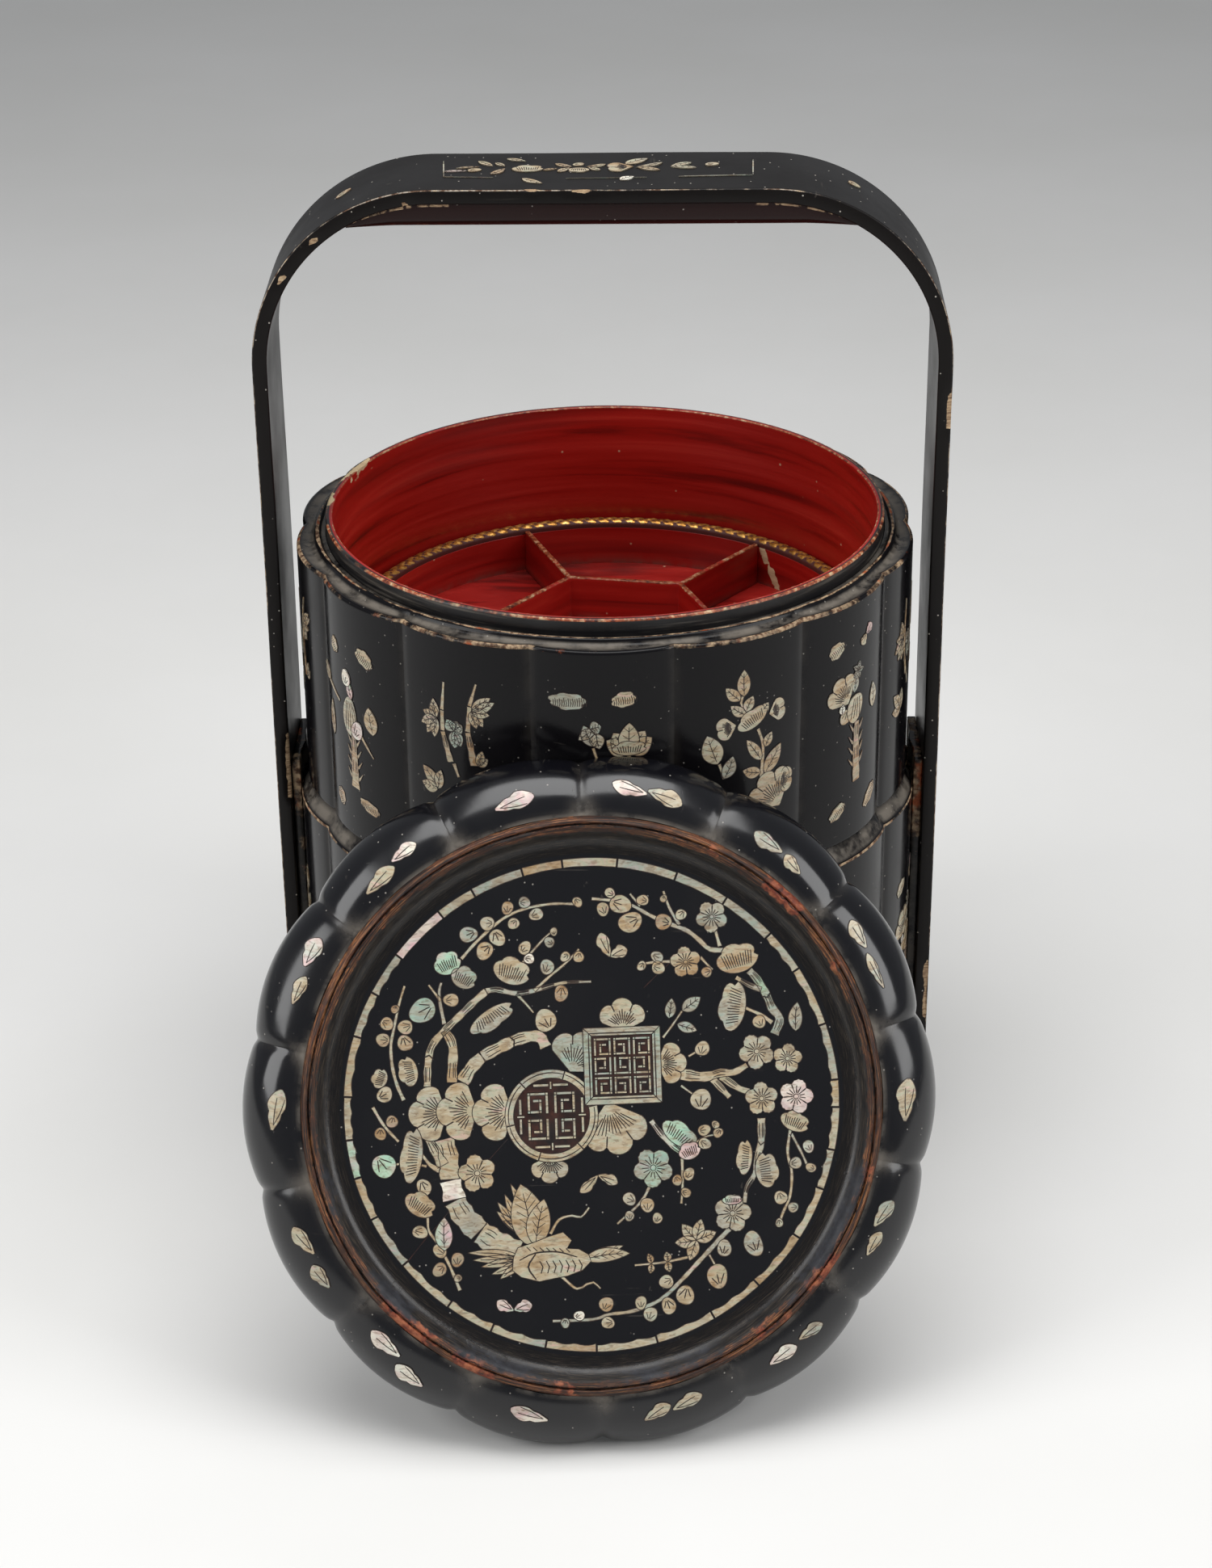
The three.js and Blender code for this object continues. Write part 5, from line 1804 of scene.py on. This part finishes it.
def draw_right(ink):
    ink.branch([(35.5, 6.5), (40, 3)], 1.0, 0.9)
    ink.bud(43.3, 0.7, 4.0, 0.44)
    ink.blossom(67.5, 0.1, 6.7, 0.34)
    ink.blossom(81.3, 0.4, 7.0, 0.84)
    ink.side_blossom(80.6, -9.4, 12, 8, -25, 0.18)
    ink.branch(
        [(78.6, -12.4), (77.2, -21.8), (78.6, -29.9), (77.6, -39.3), (74.5, -46), (72.9, -50.7)], 1.3, 1.2
    )
    ink.branch([(78.9, -14.4), (82.9, -22.5), (85.3, -28.5)], 1.2, 1.0)
    ink.buds(
        (85.6, -19.8, 2.3, 0.72), (80.3, -26.2, 2.3), (86.3, -28.3, 1.9), (73.9, -39.8, 2.6), (78.7, -43.9, 2),
        (73, -49.9, 1.6)
    )
    ink.branch(
        [(67.1, -7.7), (66.8, -17.1), (65.1, -23.1), (63.8, -29.9), (60.4, -35.3), (59.4, -41.3)], 3.4, 1.5,
        0.46, joints=[(66.6, -18)]
    )
    ink.side_blossom(59.7, -23.1, 14, 6.5, 84, flip=1)
    ink.side_blossom(68.9, -28.5, 14, 9.5, 96, 0.44, flip=-1)
    ink.branch([(23.1, -7), (27.5, -13.1), (32.8, -18.4), (37.5, -21.8)], 2.0, 2.8, 0.72)
    ink.side_blossom(34.5, -12.6, 16, 9, -38, 0.7)
    ink.side_blossom(38, -19.5, 9, 7, 20, 0.95, 3)
    ink.branch([(35, -22.5), (34.9, -32.6), (34.1, -40.6)], 1.3, 1.0)
    ink.buds(
        (32.8, -31.2, 2), (37.5, -28.9, 2.3), (36.1, -36.3, 1.9), (49.7, -12.9, 1.9, 0.1), (44.2, -11.6, 2.3),
        (44.2, -17, 2.3), (48.8, -9.6, 1.5)
    )
    ink.branch([(39.5, -17.2), (44.5, -14.3), (50.5, -13.4)], 0.8, 0.8)
    ink.blossom(23.4, -25.8, 8.0, 0.56)
    ink.branch([(22, -32.6), (18, -39.3), (8.3, -47.7)], 1.4, 0.9)
    ink.buds((13.5, -37.9, 2.5), (20.6, -40.6, 2.7), (13.3, -44.7, 1.9), (24.4, -46, 2))
    ink.blossom(54.4, -45.3, 7.6, 0.46, layer=3)
    ink.side_blossom(54.4, -39.8, 8, 4, 0, 0.86, 4)
    ink.bud(62.4, -57.8, 3.9, 0.44, 1.3, 1.9)


def draw_lower_right(ink):
    ink.branch([
        (53, -51.4), (49, -55.4), (40.9, -63.5), (33.5, -70.9), (26.1, -77.6), (19.4, -81), (12, -83),
        (3.9, -83.7), (-2.8, -85.4), (-18.7, -85.4)
    ], 2.1, 1.1)
    for heading in (20, 75, 130, 185, 250):
        tip = polar(39.6, -55.4, 8.6, math.radians(heading))
        ink.leaf((39.6, -55.4), tip, 5.0, 0.3)
    ink.branch([(14.7, -64.5), (26.1, -63.8), (36.2, -62.1)], 0.9, 1.2)
    ink.leaves(
        ((21.5, -64), (20.2, -60), 2.8), ((21.5, -64.2), (20.8, -68), 2.8), ((28, -63.6), (27.5, -59.6), 3.2),
        ((28, -63.6), (28.6, -67.8), 3.2), tone=0.1
    )
    ink.buds(
        (27.1, -71.6, 2.7), (50.7, -59.1, 3.0), (47.6, -70.2, 4.3), (34.5, -77.3, 3.6), (27.8, -81.3, 3.0),
        (16.7, -79.6, 2.4), (20.4, -84.3, 2.7), (2.9, -79.6, 2.8, 0.12), (3.3, -87, 2.4), (-8, -83.7, 2, 0.98),
        (-13.7, -86.4, 1.8)
    )
    ink.branch([(47.2, -66.5), (44.6, -61.5)], 0.9, 0.9)
    ink.wing((1.2, -28), (-6, -34.5), 4.2, 0.3)
    ink.wing((1.4, -28), (9, -31.5), 4.6, 0.4)


def draw_left(ink):
    ink.branch([(-59.1, -11), (-57.7, -17.8), (-57.4, -27.2)], 7.4, 8.0, 0.3)
    ink.branch([(-57.3, -27.6), (-55.9, -35.3)], 8.2, 8.8, 0.98)
    ink.branch([(-55.7, -35.8), (-52.4, -42), (-46.6, -48.4)], 8.8, 9.6, 0.44)
    ink.branch([(-46.2, -48.8), (-39.6, -53.4), (-31.5, -57.6)], 9.6, 10, 0.36)
    ink.branch([(-65.8, -10.2), (-62.6, -16.2), (-60, -21.5)], 2.8, 4.6, 0.3)
    ink.branch([(-68.5, -16.4), (-65.1, -21.1), (-61.4, -23.5)], 1.0, 2.2)
    ink.branch([(-70.4, -20.6), (-66.5, -21.6)], 0.6, 1.2)
    ink.side_blossom(-72.5, -17.1, 22, 9, 82, flip=1)
    ink.bud(-83.3, -20.8, 4.5, 0.84)
    ink.branch([(-80, -20.6), (-76, -20)], 1.2, 0.8)
    ink.branch([(-87, 2.7), (-82.6, -5), (-77.2, -11.4)], 1.4, 1.2)
    ink.buds((-79.6, -3.3, 2.3), (-84.3, -8, 2.3), tone=0.06)
    ink.blossom(-46.6, -25.2, 7.6, 0.24)
    ink.side_blossom(-69.5, -36.6, 13, 9.5, -35)
    ink.bud(-67.8, -29.9, 3)
    ink.branch([(-66.8, -42), (-66.5, -47.4), (-63.5, -52.1), (-59.1, -60.8), (-55, -71.6)], 1.1, 1.4)
    ink.buds(
        (-70, -47.7, 2.7), (-62.4, -55.4, 2.7), (-55.6, -59.3, 2.6), (-62.8, -63, 2.7), (-55.7, -66.7, 1.5)
    )
    ink.leaf((-60.5, -55.5), (-60.2, -42.2), 7, 0.86, 2)
    ink.wing((-34, -80.5), (-40.5, -76.5), 5, 0.86)
    ink.wing((-33.8, -80.3), (-26.6, -78.6), 5.4, 0.86)


def draw_bird(ink):
    """A long-tailed bird in flight: a raised wing, a feathered body and a spread tail."""
    for tip, wide in (
        ((-33.5, -29.9), 2.4), ((-36, -34.0), 2.4), ((-38.9, -37.0), 2.4), ((-39.4, -40.6), 2.2),
        ((-36.8, -44.6), 2.0)
    ):
        ink.leaf((-27.5, -50.5), tip, wide + 1.4, 0.2, 1, 1)
    ink.leaf((-25.5, -55.4), (-29.6, -30.2), 14, 0.22, 2, 5)
    ink.leaf((-24.5, -55.0), (-20.4, -36.5), 9.5, 0.3, 3, 4)
    for tip in ((-51.4, -56.8), (-49.5, -59.8), (-46.3, -62.6), (-42.3, -65.7), (-38.9, -67.7)):
        ink.leaf((-29, -60), tip, 3.4, 0.24, 1, 1)
    body = [
        (-31.5, -55.5), (-25, -53.6), (-19.4, -51.6), (-13.4, -50), (-10, -53.4), (-12, -56.6), (-7.3, -57.0),
        (-3.4, -59.4), (-2.6, -62.2), (-6, -65.5), (-12, -67.6), (-17.4, -68.4), (-23.4, -69.4), (-30.5, -67.4),
        (-33.9, -64.5), (-33.4, -59.5)
    ]
    height = ink.plate(body, 0.3, 4)
    ink.cut([(-31, -60.6), (-25, -58.0), (-16, -57.8), (-8, -60.2)], height, 0.4)
    ink.cut([(-24.5, -58.3), (-27.6, -63.4), (-24.6, -68.6)], height, 0.45)
    for k in range(7):
        x = -23 + 2.6 * k
        ink.cut([(x, -61.2), (x + 1.2, -63.6), (x + 0.4, -66.2)], height, 0.3)
        ink.cut([(x - 5, -55.4 - 0.2 * k), (x - 3.4, -57.0 - 0.2 * k)], height, 0.26)
    ink.leaf((-5.3, -61.2), (13, -59.6), 5.6, 0.28, 3, 4)
    ink.leaf((-4.0, -60.0), (10.5, -56.4), 3.6, 0.34, 2, 3)
    for line in (
        [(-18.4, -50.6), (-14.7, -45), (-9.5, -43.6), (-6, -44.3), (-2.6, -40.6)],
        [(-14.7, -67.6), (-8.6, -72.9), (-4.6, -71.2), (-1.9, -70.6), (0.8, -73.2)],
    ):
        ink.branch(line, 1.3, 0.8, 0.3, 1)


def draw_cracks(ink):
    """Hairlines where the lid's board has opened under its lacquer."""
    for crack in (
        [(-76, -60), (-67, -49.5), (-60, -42), (-52, -31), (-45, -23.5), (-34, -12)],
        [(22, 46), (27, 50.6), (35, 57.5)]
    ):
        line = smooth_line(crack)
        left, right = sides_of(line, [0.3 + 0.1 * math.sin(k) for k in range(len(line))])
        ink.plates.append((right + left[::-1], 0.0, 0.02, 2))


def draw_border(ink):
    """The shell border: short lengths set end to end, nicked along their inner side."""
    start = 4.0
    while start < 363.0:
        length = min(draw.uniform(9, 15), 364.0 - start)
        if 364.0 - start - length < 5:
            length = 364.0 - start
        angles = np.radians(np.linspace(start, start + length - 0.35, 14))
        upper = 40 < (start + length / 2) % 360 < 140
        nick = 0.12 if upper else 0.75
        phase = draw.uniform(0, 3)
        outer = [polar(0, 0, 98.5 + 0.12 * math.sin(9 * a + phase), a) for a in angles]
        inner = [polar(0, 0, 95.1 + nick * abs(math.sin(2.6 * k + phase)), a) for k, a in enumerate(angles)]
        tone = draw.choice((
            0.24, 0.3, 0.36, 0.4, 0.46, 0.5, 0.2, 0.34, 0.12 if draw.random() < 0.5 else 0.8,
            0.9 if upper else 0.3
        ))
        ink.plate(outer + inner[::-1], tone, 0)
        start += length


WINGS = [
    ((485, 1067), (515, 1044), 5.5), ((454, 1107), (488, 1073), 6.5), ((377, 1196), (397, 1162), 7.5),
    ((362, 1243), (379, 1209), 5.5), ((337, 1399), (349, 1349), 7.5), ((389, 1552), (363, 1519), 6.5),
    ((408, 1594), (387, 1566), 6.5), ((495, 1679), (460, 1647), 7), ((523, 1716), (490, 1689), 7),
    ((678, 1758), (632, 1743), 6.5), ((798, 1758), (830, 1739), 6), ((833, 1745), (869, 1726), 6),
    ((953, 1689), (986, 1666), 6.5), ((989, 1658), (1018, 1638), 5.5), ((1073, 1554), (1091, 1525), 5.5),
    ((1082, 1518), (1106, 1487), 6.5), ((1120, 1388), (1125, 1335), 8.5), ((1094, 1223), (1073, 1180), 4),
    ((1072, 1173), (1053, 1139), 6), ((990, 1082), (972, 1058), 5.5), ((968, 1055), (934, 1030), 6.5),
    ((801, 983), (758, 969), 6), ((802, 979), (844, 997), 7), ((613, 1003), (661, 985), 7),
]


def draw_rim(ink):
    for tail, head, width in WINGS:
        ink.wing(lid_spot(tail), lid_spot(head), width)


def add_lid_inlay():
    picture = (
        draw_cracks, draw_upper_left, draw_upper_right, draw_right, draw_lower_right, draw_left, draw_bird
    )
    for name, parts, place, split, nodes in (
        ("lid_picture_inlay", picture, on_panel, 0.0, ()),
        ("lid_emblem_inlay", (draw_middle,), on_panel, 0.0, ("lid_medallion", "lid_square_panel")),
        ("lid_border_inlay", (draw_border,), on_panel, 0.0, ("lid_pearl_border",)),
        ("lid_rim_inlay", (draw_rim,), on_rim, ROUND_SPLIT, ()),
    ):
        ink = Inlay()
        for draw_part in parts:
            draw_part(ink)
        build_inlay(name, ink, place, "lid", split, *nodes)


# The walls' pictures, one for each lobe. A picture's places are pixels of the photograph, carried
# to the wall and then moved by whole lobes, and down for the container.


class WallPicture:
    def __init__(self, ink, shift, drop=0.0):
        self.ink, self.shift, self.drop = ink, shift, drop

    def at(self, x, y):
        u, v = wall_spot((x, y))
        return np.array((u + self.shift * 2 * HALF_LOBE * TIER, v - self.drop))

    def leaves(self, *rows):
        for start, end, *kind in rows:
            self.ink.leaf(self.at(*start), self.at(*end), *kind)

    def clouds(self, *rows):
        for spot, *kind in rows:
            self.ink.cloud(self.at(*spot), *kind)

    def branches(self, *rows):
        for points, *kind in rows:
            self.ink.branch([self.at(*p) for p in points], *kind)

    def heart(self, spot, long, wide, heading, tone, layer, lines):
        """A big bud with long lines cut down it."""
        x, y = self.at(*spot)
        self.ink.plate(self.ink.blob(x, y, long, wide, heading), tone, layer)
        height = self.ink.lift(layer) + 0.012
        for line in lines:
            self.ink.cut([(x + across, y + up) for across, up in line], height, 0.3)


def draw_palm(draw_on):
    """An upright spiny stem under a large bud, with leaves beside it and clouds above and below."""
    at, ink = draw_on.at, draw_on.ink
    draw_on.clouds(((414, 797), 7.5, 6.5, -50, 0.18), ((450, 816), 11, 8, -28, 0.2))
    draw_on.leaves(((410, 840), (404, 816), 5.5, 0.22))
    draw_on.branches(([(408, 836), (421, 867)], 1.8, 1.2, 0.24))
    ink.bud(*at(428, 839), 3.4, 1.0, 1.1, 1.4, 3)
    draw_on.leaves(((435, 866), (430, 842), 4.4, 0.84, 2))
    lines = [[(off, -6.5), (off * 1.1 + 0.6, 0), (off * 0.7, 7)] for off in (-3, -1.4, 0.3, 2, 3.4)]
    draw_on.heart((433, 887), 19, 10, 1.6, 0.42, 1, lines)
    ink.bud(*at(442, 905), 3.6, 1.0, 1.3, 1.2, 2)
    draw_on.leaves(((415, 908), (412, 864), 5.2, 0.2), ((462, 911), (456, 876), 8, 0.24))
    draw_on.branches(([(447, 911), (463, 940)], 1.8, 0.6, 0.26))
    ink.thorned([at(438, 910), at(439, 930), at(441, 975)], 3.4, 5.6, 0.08)
    draw_on.clouds(((424, 984), 9, 7, -60, 0.08), ((458, 1000), 13, 6, -12, 0.16))


def draw_bamboo(draw_on):
    """Two jointed canes with ragged leaves, and a small sprig at the foot."""
    draw_on.branches(
        ([(549, 844), (547, 878)], 1.0, 1.9, 0.22), ([(547, 879), (548, 904)], 1.9, 2.1, 0.12),
        ([(548, 905), (558, 943)], 2.2, 3.0, 0.12), ([(562, 945), (568, 962)], 1.8, 1.2, 0.3),
        ([(589, 847), (581, 874)], 0.9, 1.9, 0.2), ([(581, 875), (579, 906)], 2.0, 2.2, 0.14),
        ([(579, 907), (587, 948)], 2.4, 3.4, 0.08),
    )
    for foot, width, tone, tips in (
        ((540, 888), 4.6, 0.24, ((533, 869), (524, 878), (522, 893), (529, 906), (538, 912), (536, 864))),
        ((584, 880), 4.4, 0.26, ((607, 864), (612, 870), (606, 886), (598, 900), (590, 902))),
        ((562, 905), 5.6, 0.56, ((553, 890), (563, 926), (571, 924), (572, 898), (566, 893))),
    ):
        draw_on.leaves(*((foot, tip, width, tone) for tip in tips))
    draw_on.leaves(
        ((543, 974), (524, 946), 6, 0.22), ((543, 976), (546, 953), 5, 0.22),
        ((542, 977), (523, 966), 5.5, 0.22), ((592, 948), (597, 930), 4, 0.22),
        ((592, 948), (604, 940), 4, 0.22),
    )
    draw_on.branches(([(538, 958), (543, 976)], 1.1, 0.8, 0.24))


def draw_peony(draw_on):
    """Two clouds over a folded leaf and a pointed, many-petalled flower."""
    at, ink = draw_on.at, draw_on.ink
    draw_on.clouds(((702, 868), 16, 8, 4, 0.52), ((772, 866), 11, 7, 8, 0.24))
    draw_on.leaves(
        ((736, 924), (722, 898), 6, 0.5), ((736, 904), (716, 916), 4.5, 0.46),
        ((738, 908), (742, 927), 6, 0.42), ((730, 902), (744, 899), 6, 0.5),
    )
    x, y = at(779, 929)
    for heading in (152, 28, 128, 52, 90):
        tip = polar(x, y, 10.5 if heading != 90 else 12.5, math.radians(heading))
        ink.leaf((x, y - 1), tip, 8.5, 0.22, 2 + (heading == 90))
    ink.side_blossom(x, y + 1.2, 14, 6.5, 0, 0.26, 4)
    draw_on.branches(
        ([(779, 932), (776, 948), (772, 962), (771, 990)], 1.6, 2.6, 0.2),
        ([(734, 926), (742, 946), (756, 962), (770, 972)], 1.2, 1.8, 0.24),
    )
    draw_on.leaves(
        ((776, 950), (797, 938), 6, 0.5), ((773, 962), (800, 962), 6.5, 0.22),
        ((772, 968), (790, 982), 5.5, 0.3), ((745, 950), (724, 948), 5.5, 0.46),
        ((757, 963), (736, 972), 6, 0.2),
    )
    draw_on.clouds(((748, 1002), 12, 6, 0, 0.2), ((788, 1004), 10, 6, 10, 0.1))


def draw_spray(draw_on):
    """A leafy branch with open flowers."""
    at, ink = draw_on.at, draw_on.ink
    draw_on.leaves(
        ((921, 862), (921, 829), 6, 0.22), ((916, 867), (898, 852), 5, 0.2), ((923, 881), (932, 861), 5, 0.26),
        ((923, 885), (904, 874), 4.6, 0.18), ((942, 940), (924, 916), 5, 0.3),
        ((947, 924), (955, 905), 4.5, 0.26), ((946, 957), (966, 919), 7, 0.1),
        ((941, 956), (919, 954), 5.4, 0.1), ((888, 946), (875, 911), 9, 0.3), ((896, 964), (907, 936), 6, 0.46),
    )
    draw_on.branches(
        ([(919, 862), (917, 870), (923, 884)], 1.2, 1.0, 0.26),
        ([(938, 902), (944, 921), (943, 945), (942, 962)], 1.4, 1.8, 0.2),
        ([(890, 946), (896, 964)], 1.3, 1.1, 0.26),
    )
    x, y = at(931, 889)
    ink.side_blossom(x, y, 15, 8.5, 28, 0.24, 2)
    ink.leaf((x + 4, y + 1), at(951, 869), 4.5, 0.24, 1)
    ink.fan(at(954, 882), 8, 10, 120, 2, 0.3)
    ink.fan(at(908, 899), 8, 190, 120, 2, 0.22)
    ink.fan(at(962, 992), 17, 118, 120, 3, 0.2)
    ink.fan(at(964, 967), 8, 0, 140, 2, 0.18)


def draw_garden_palm(draw_on):
    """A spiny stem that carries flowers, with butterflies above and clouds at its foot."""
    at, ink = draw_on.at, draw_on.ink
    ink.wing(at(1072, 784), at(1079, 771), 5, 0.9)
    ink.wing(at(1072, 784), at(1066, 798), 5, 0.3)
    draw_on.clouds(((1036, 806), 10, 7, 32, 0.24))
    for heading in range(0, 360, 72):
        x, y = at(1062, 829)
        ink.leaf((x, y), polar(x, y, 4, math.radians(heading)), 2.4, 0.46, 2)
    draw_on.leaves(((1057, 857), (1060, 834), 4.6, 0.44))
    ink.fan(at(1048, 868), 13, 120, 130, 3, 0.26, 1)
    lines = [[(off, -4.5), (off * 0.8 + 0.8, 0.5), (off * 0.6 + 1, 4.5)] for off in (-3, -1, 1, 3)]
    draw_on.heart((1058, 876), 14, 10, 1.2, 0.26, 2, lines)
    draw_on.leaves(((1079, 874), (1080, 843), 6.4, 0.34), ((1042, 885), (1043, 872), 3.6, 1.0, 3))
    ink.bud(*at(1046, 888), 3.2, 0.2)
    ink.thorned([at(1060, 892), at(1059, 920), at(1059, 965)], 3.4, 5.2, 0.06)
    draw_on.clouds(((1075, 982), 13, 7, 44, 0.12), ((1036, 1006), 11, 6, 30, 0.22))


# Which picture each lobe has, by how many lobes it lies to the right of the photograph's own
TIER_PICTURES = [
    (draw_palm, (0, 7)), (draw_bamboo, (0, -2, 4)), (draw_peony, (0, 4, -5)), (draw_spray, (0, 5, -5)),
    (draw_garden_palm, (0, 5, -8)),
]
CONTAINER_PICTURES = [
    (draw_palm, (-3, 3, 8)), (draw_bamboo, (-1, 3, 5)), (draw_peony, (-4, 7)), (draw_spray, (-4, -1, 4)),
    (draw_garden_palm, (-8, -3, 1)),
]


def add_wall_inlay():
    for name, body, crest, pictures, drop in (
        ("tier_wall_inlay", "upper_tier", TIER, TIER_PICTURES, 0.0),
        ("container_wall_inlay", "container", CONTAINER, CONTAINER_PICTURES, PICTURE_DROP),
    ):
        ink = Inlay()
        for picture, shifts in pictures:
            for shift in shifts:
                picture(WallPicture(ink, shift, drop))
        spread = crest / TIER
        ink.plates = [([p * (spread, 1) for p in outline], *rest) for outline, *rest in ink.plates]
        ink.lines = [
            ([p * (spread, 1) for p in left], [p * (spread, 1) for p in right], height)
            for left, right, height in ink.lines
        ]
        build_inlay(name, ink, on_wall(crest), body, ROUND_SPLIT)


# The handle's top


def add_handle_inlay():
    ink = Inlay()
    at = handle_spot
    leaves = [
        ((549, 213), (579, 212), 3.6, 0.98), ((564, 209), (593, 207), 3.4, 0.2),
        ((592, 200), (610, 206), 6, 0.22), ((613, 202), (625, 206), 5, 0.3), ((607, 216), (625, 209), 6, 0.12),
        ((627, 197), (651, 200), 5.5, 0.4), ((646, 221), (671, 227), 7, 0.3), ((672, 211), (690, 209), 4, 0.2),
        ((687, 203), (708, 207), 5.5, 0.16), ((690, 213), (705, 208), 6, 0.16),
        ((750, 204), (726, 207), 5.5, 0.16), ((743, 211), (728, 208), 5.5, 0.16),
        ((774, 204), (802, 197), 9.5, 0.4), ((767, 223), (785, 219), 8, 1.0),
        ((820, 202), (787, 208), 5.5, 0.44), ((817, 211), (789, 208), 6, 0.34),
        ((856, 202), (830, 207), 6.5, 0.42), ((862, 208), (830, 207), 5, 0.42),
    ]
    for start, end, width, tone in leaves:
        ink.leaf(at(start), at(end), width * 0.6, tone)
    for corners in (
        ((549, 200), (549, 219)), ((549, 219.5), (610, 220)), ((700, 221), (800, 220)),
        ((840, 219), (931, 217)), ((932, 198), (932, 216))
    ):
        left, right = sides_of([at(p) for p in corners], (0.5, 0.5))
        ink.plate(right + left[::-1], 0.5)
    for spot, radius, tone in (
        ((716, 204), 2.0, 0.2), ((587, 211), 2.2, 0.22), ((881, 204), 2.2, 0.3), ((425, 240), 2.8, 0.16),
        ((1057, 228), 2.4, 0.14)
    ):
        ink.bud(*at(spot), radius, tone, 1.3, 0.3)
    ink.side_blossom(*at((653, 209)), 13, 9, 4, 0.4, 2)
    ink.side_blossom(*at((716, 211)), 9, 6, 180, 0.2, 2)
    ink.fan(at((780, 207)), 10, 186, 110, 2, 0.2)
    build_inlay("handle_inlay", ink, on_handle, "container", HANDLE_SPLIT)


# The whole basket


def add_floor():
    clear_selection()
    bpy.ops.mesh.primitive_plane_add(size=16)
    floor = bpy.context.object
    floor.name = "floor"
    paint_piece(floor, FLOOR_PAPER)


def add_cheeks():
    for node in ("leg_cheek_left", "leg_cheek_right"):
        board(f"{node}_rubbed", node, BLACK, "container", "black_lacquer", 0.9, 0.9, (196, 190))


def paint_hidden_nodes():
    finishes = {"dowel": WOOD, "base_board": BOARD, "floor": RED_FLAT}
    for name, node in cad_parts.items():
        if node.hide_render:
            continue
        kind = next((k for k in finishes if k in name), None)
        paint_piece(node, finishes.get(kind, BLACK))


add_camera()
add_studio()
add_floor()
add_basket()
add_handle()
add_grip()
add_cheeks()
add_tray_rim()
add_tray()
add_lid_rim()
add_lid_panel()
add_lid_ridge()
add_lid_inlay()
add_wall_inlay()
add_handle_inlay()
paint_hidden_nodes()
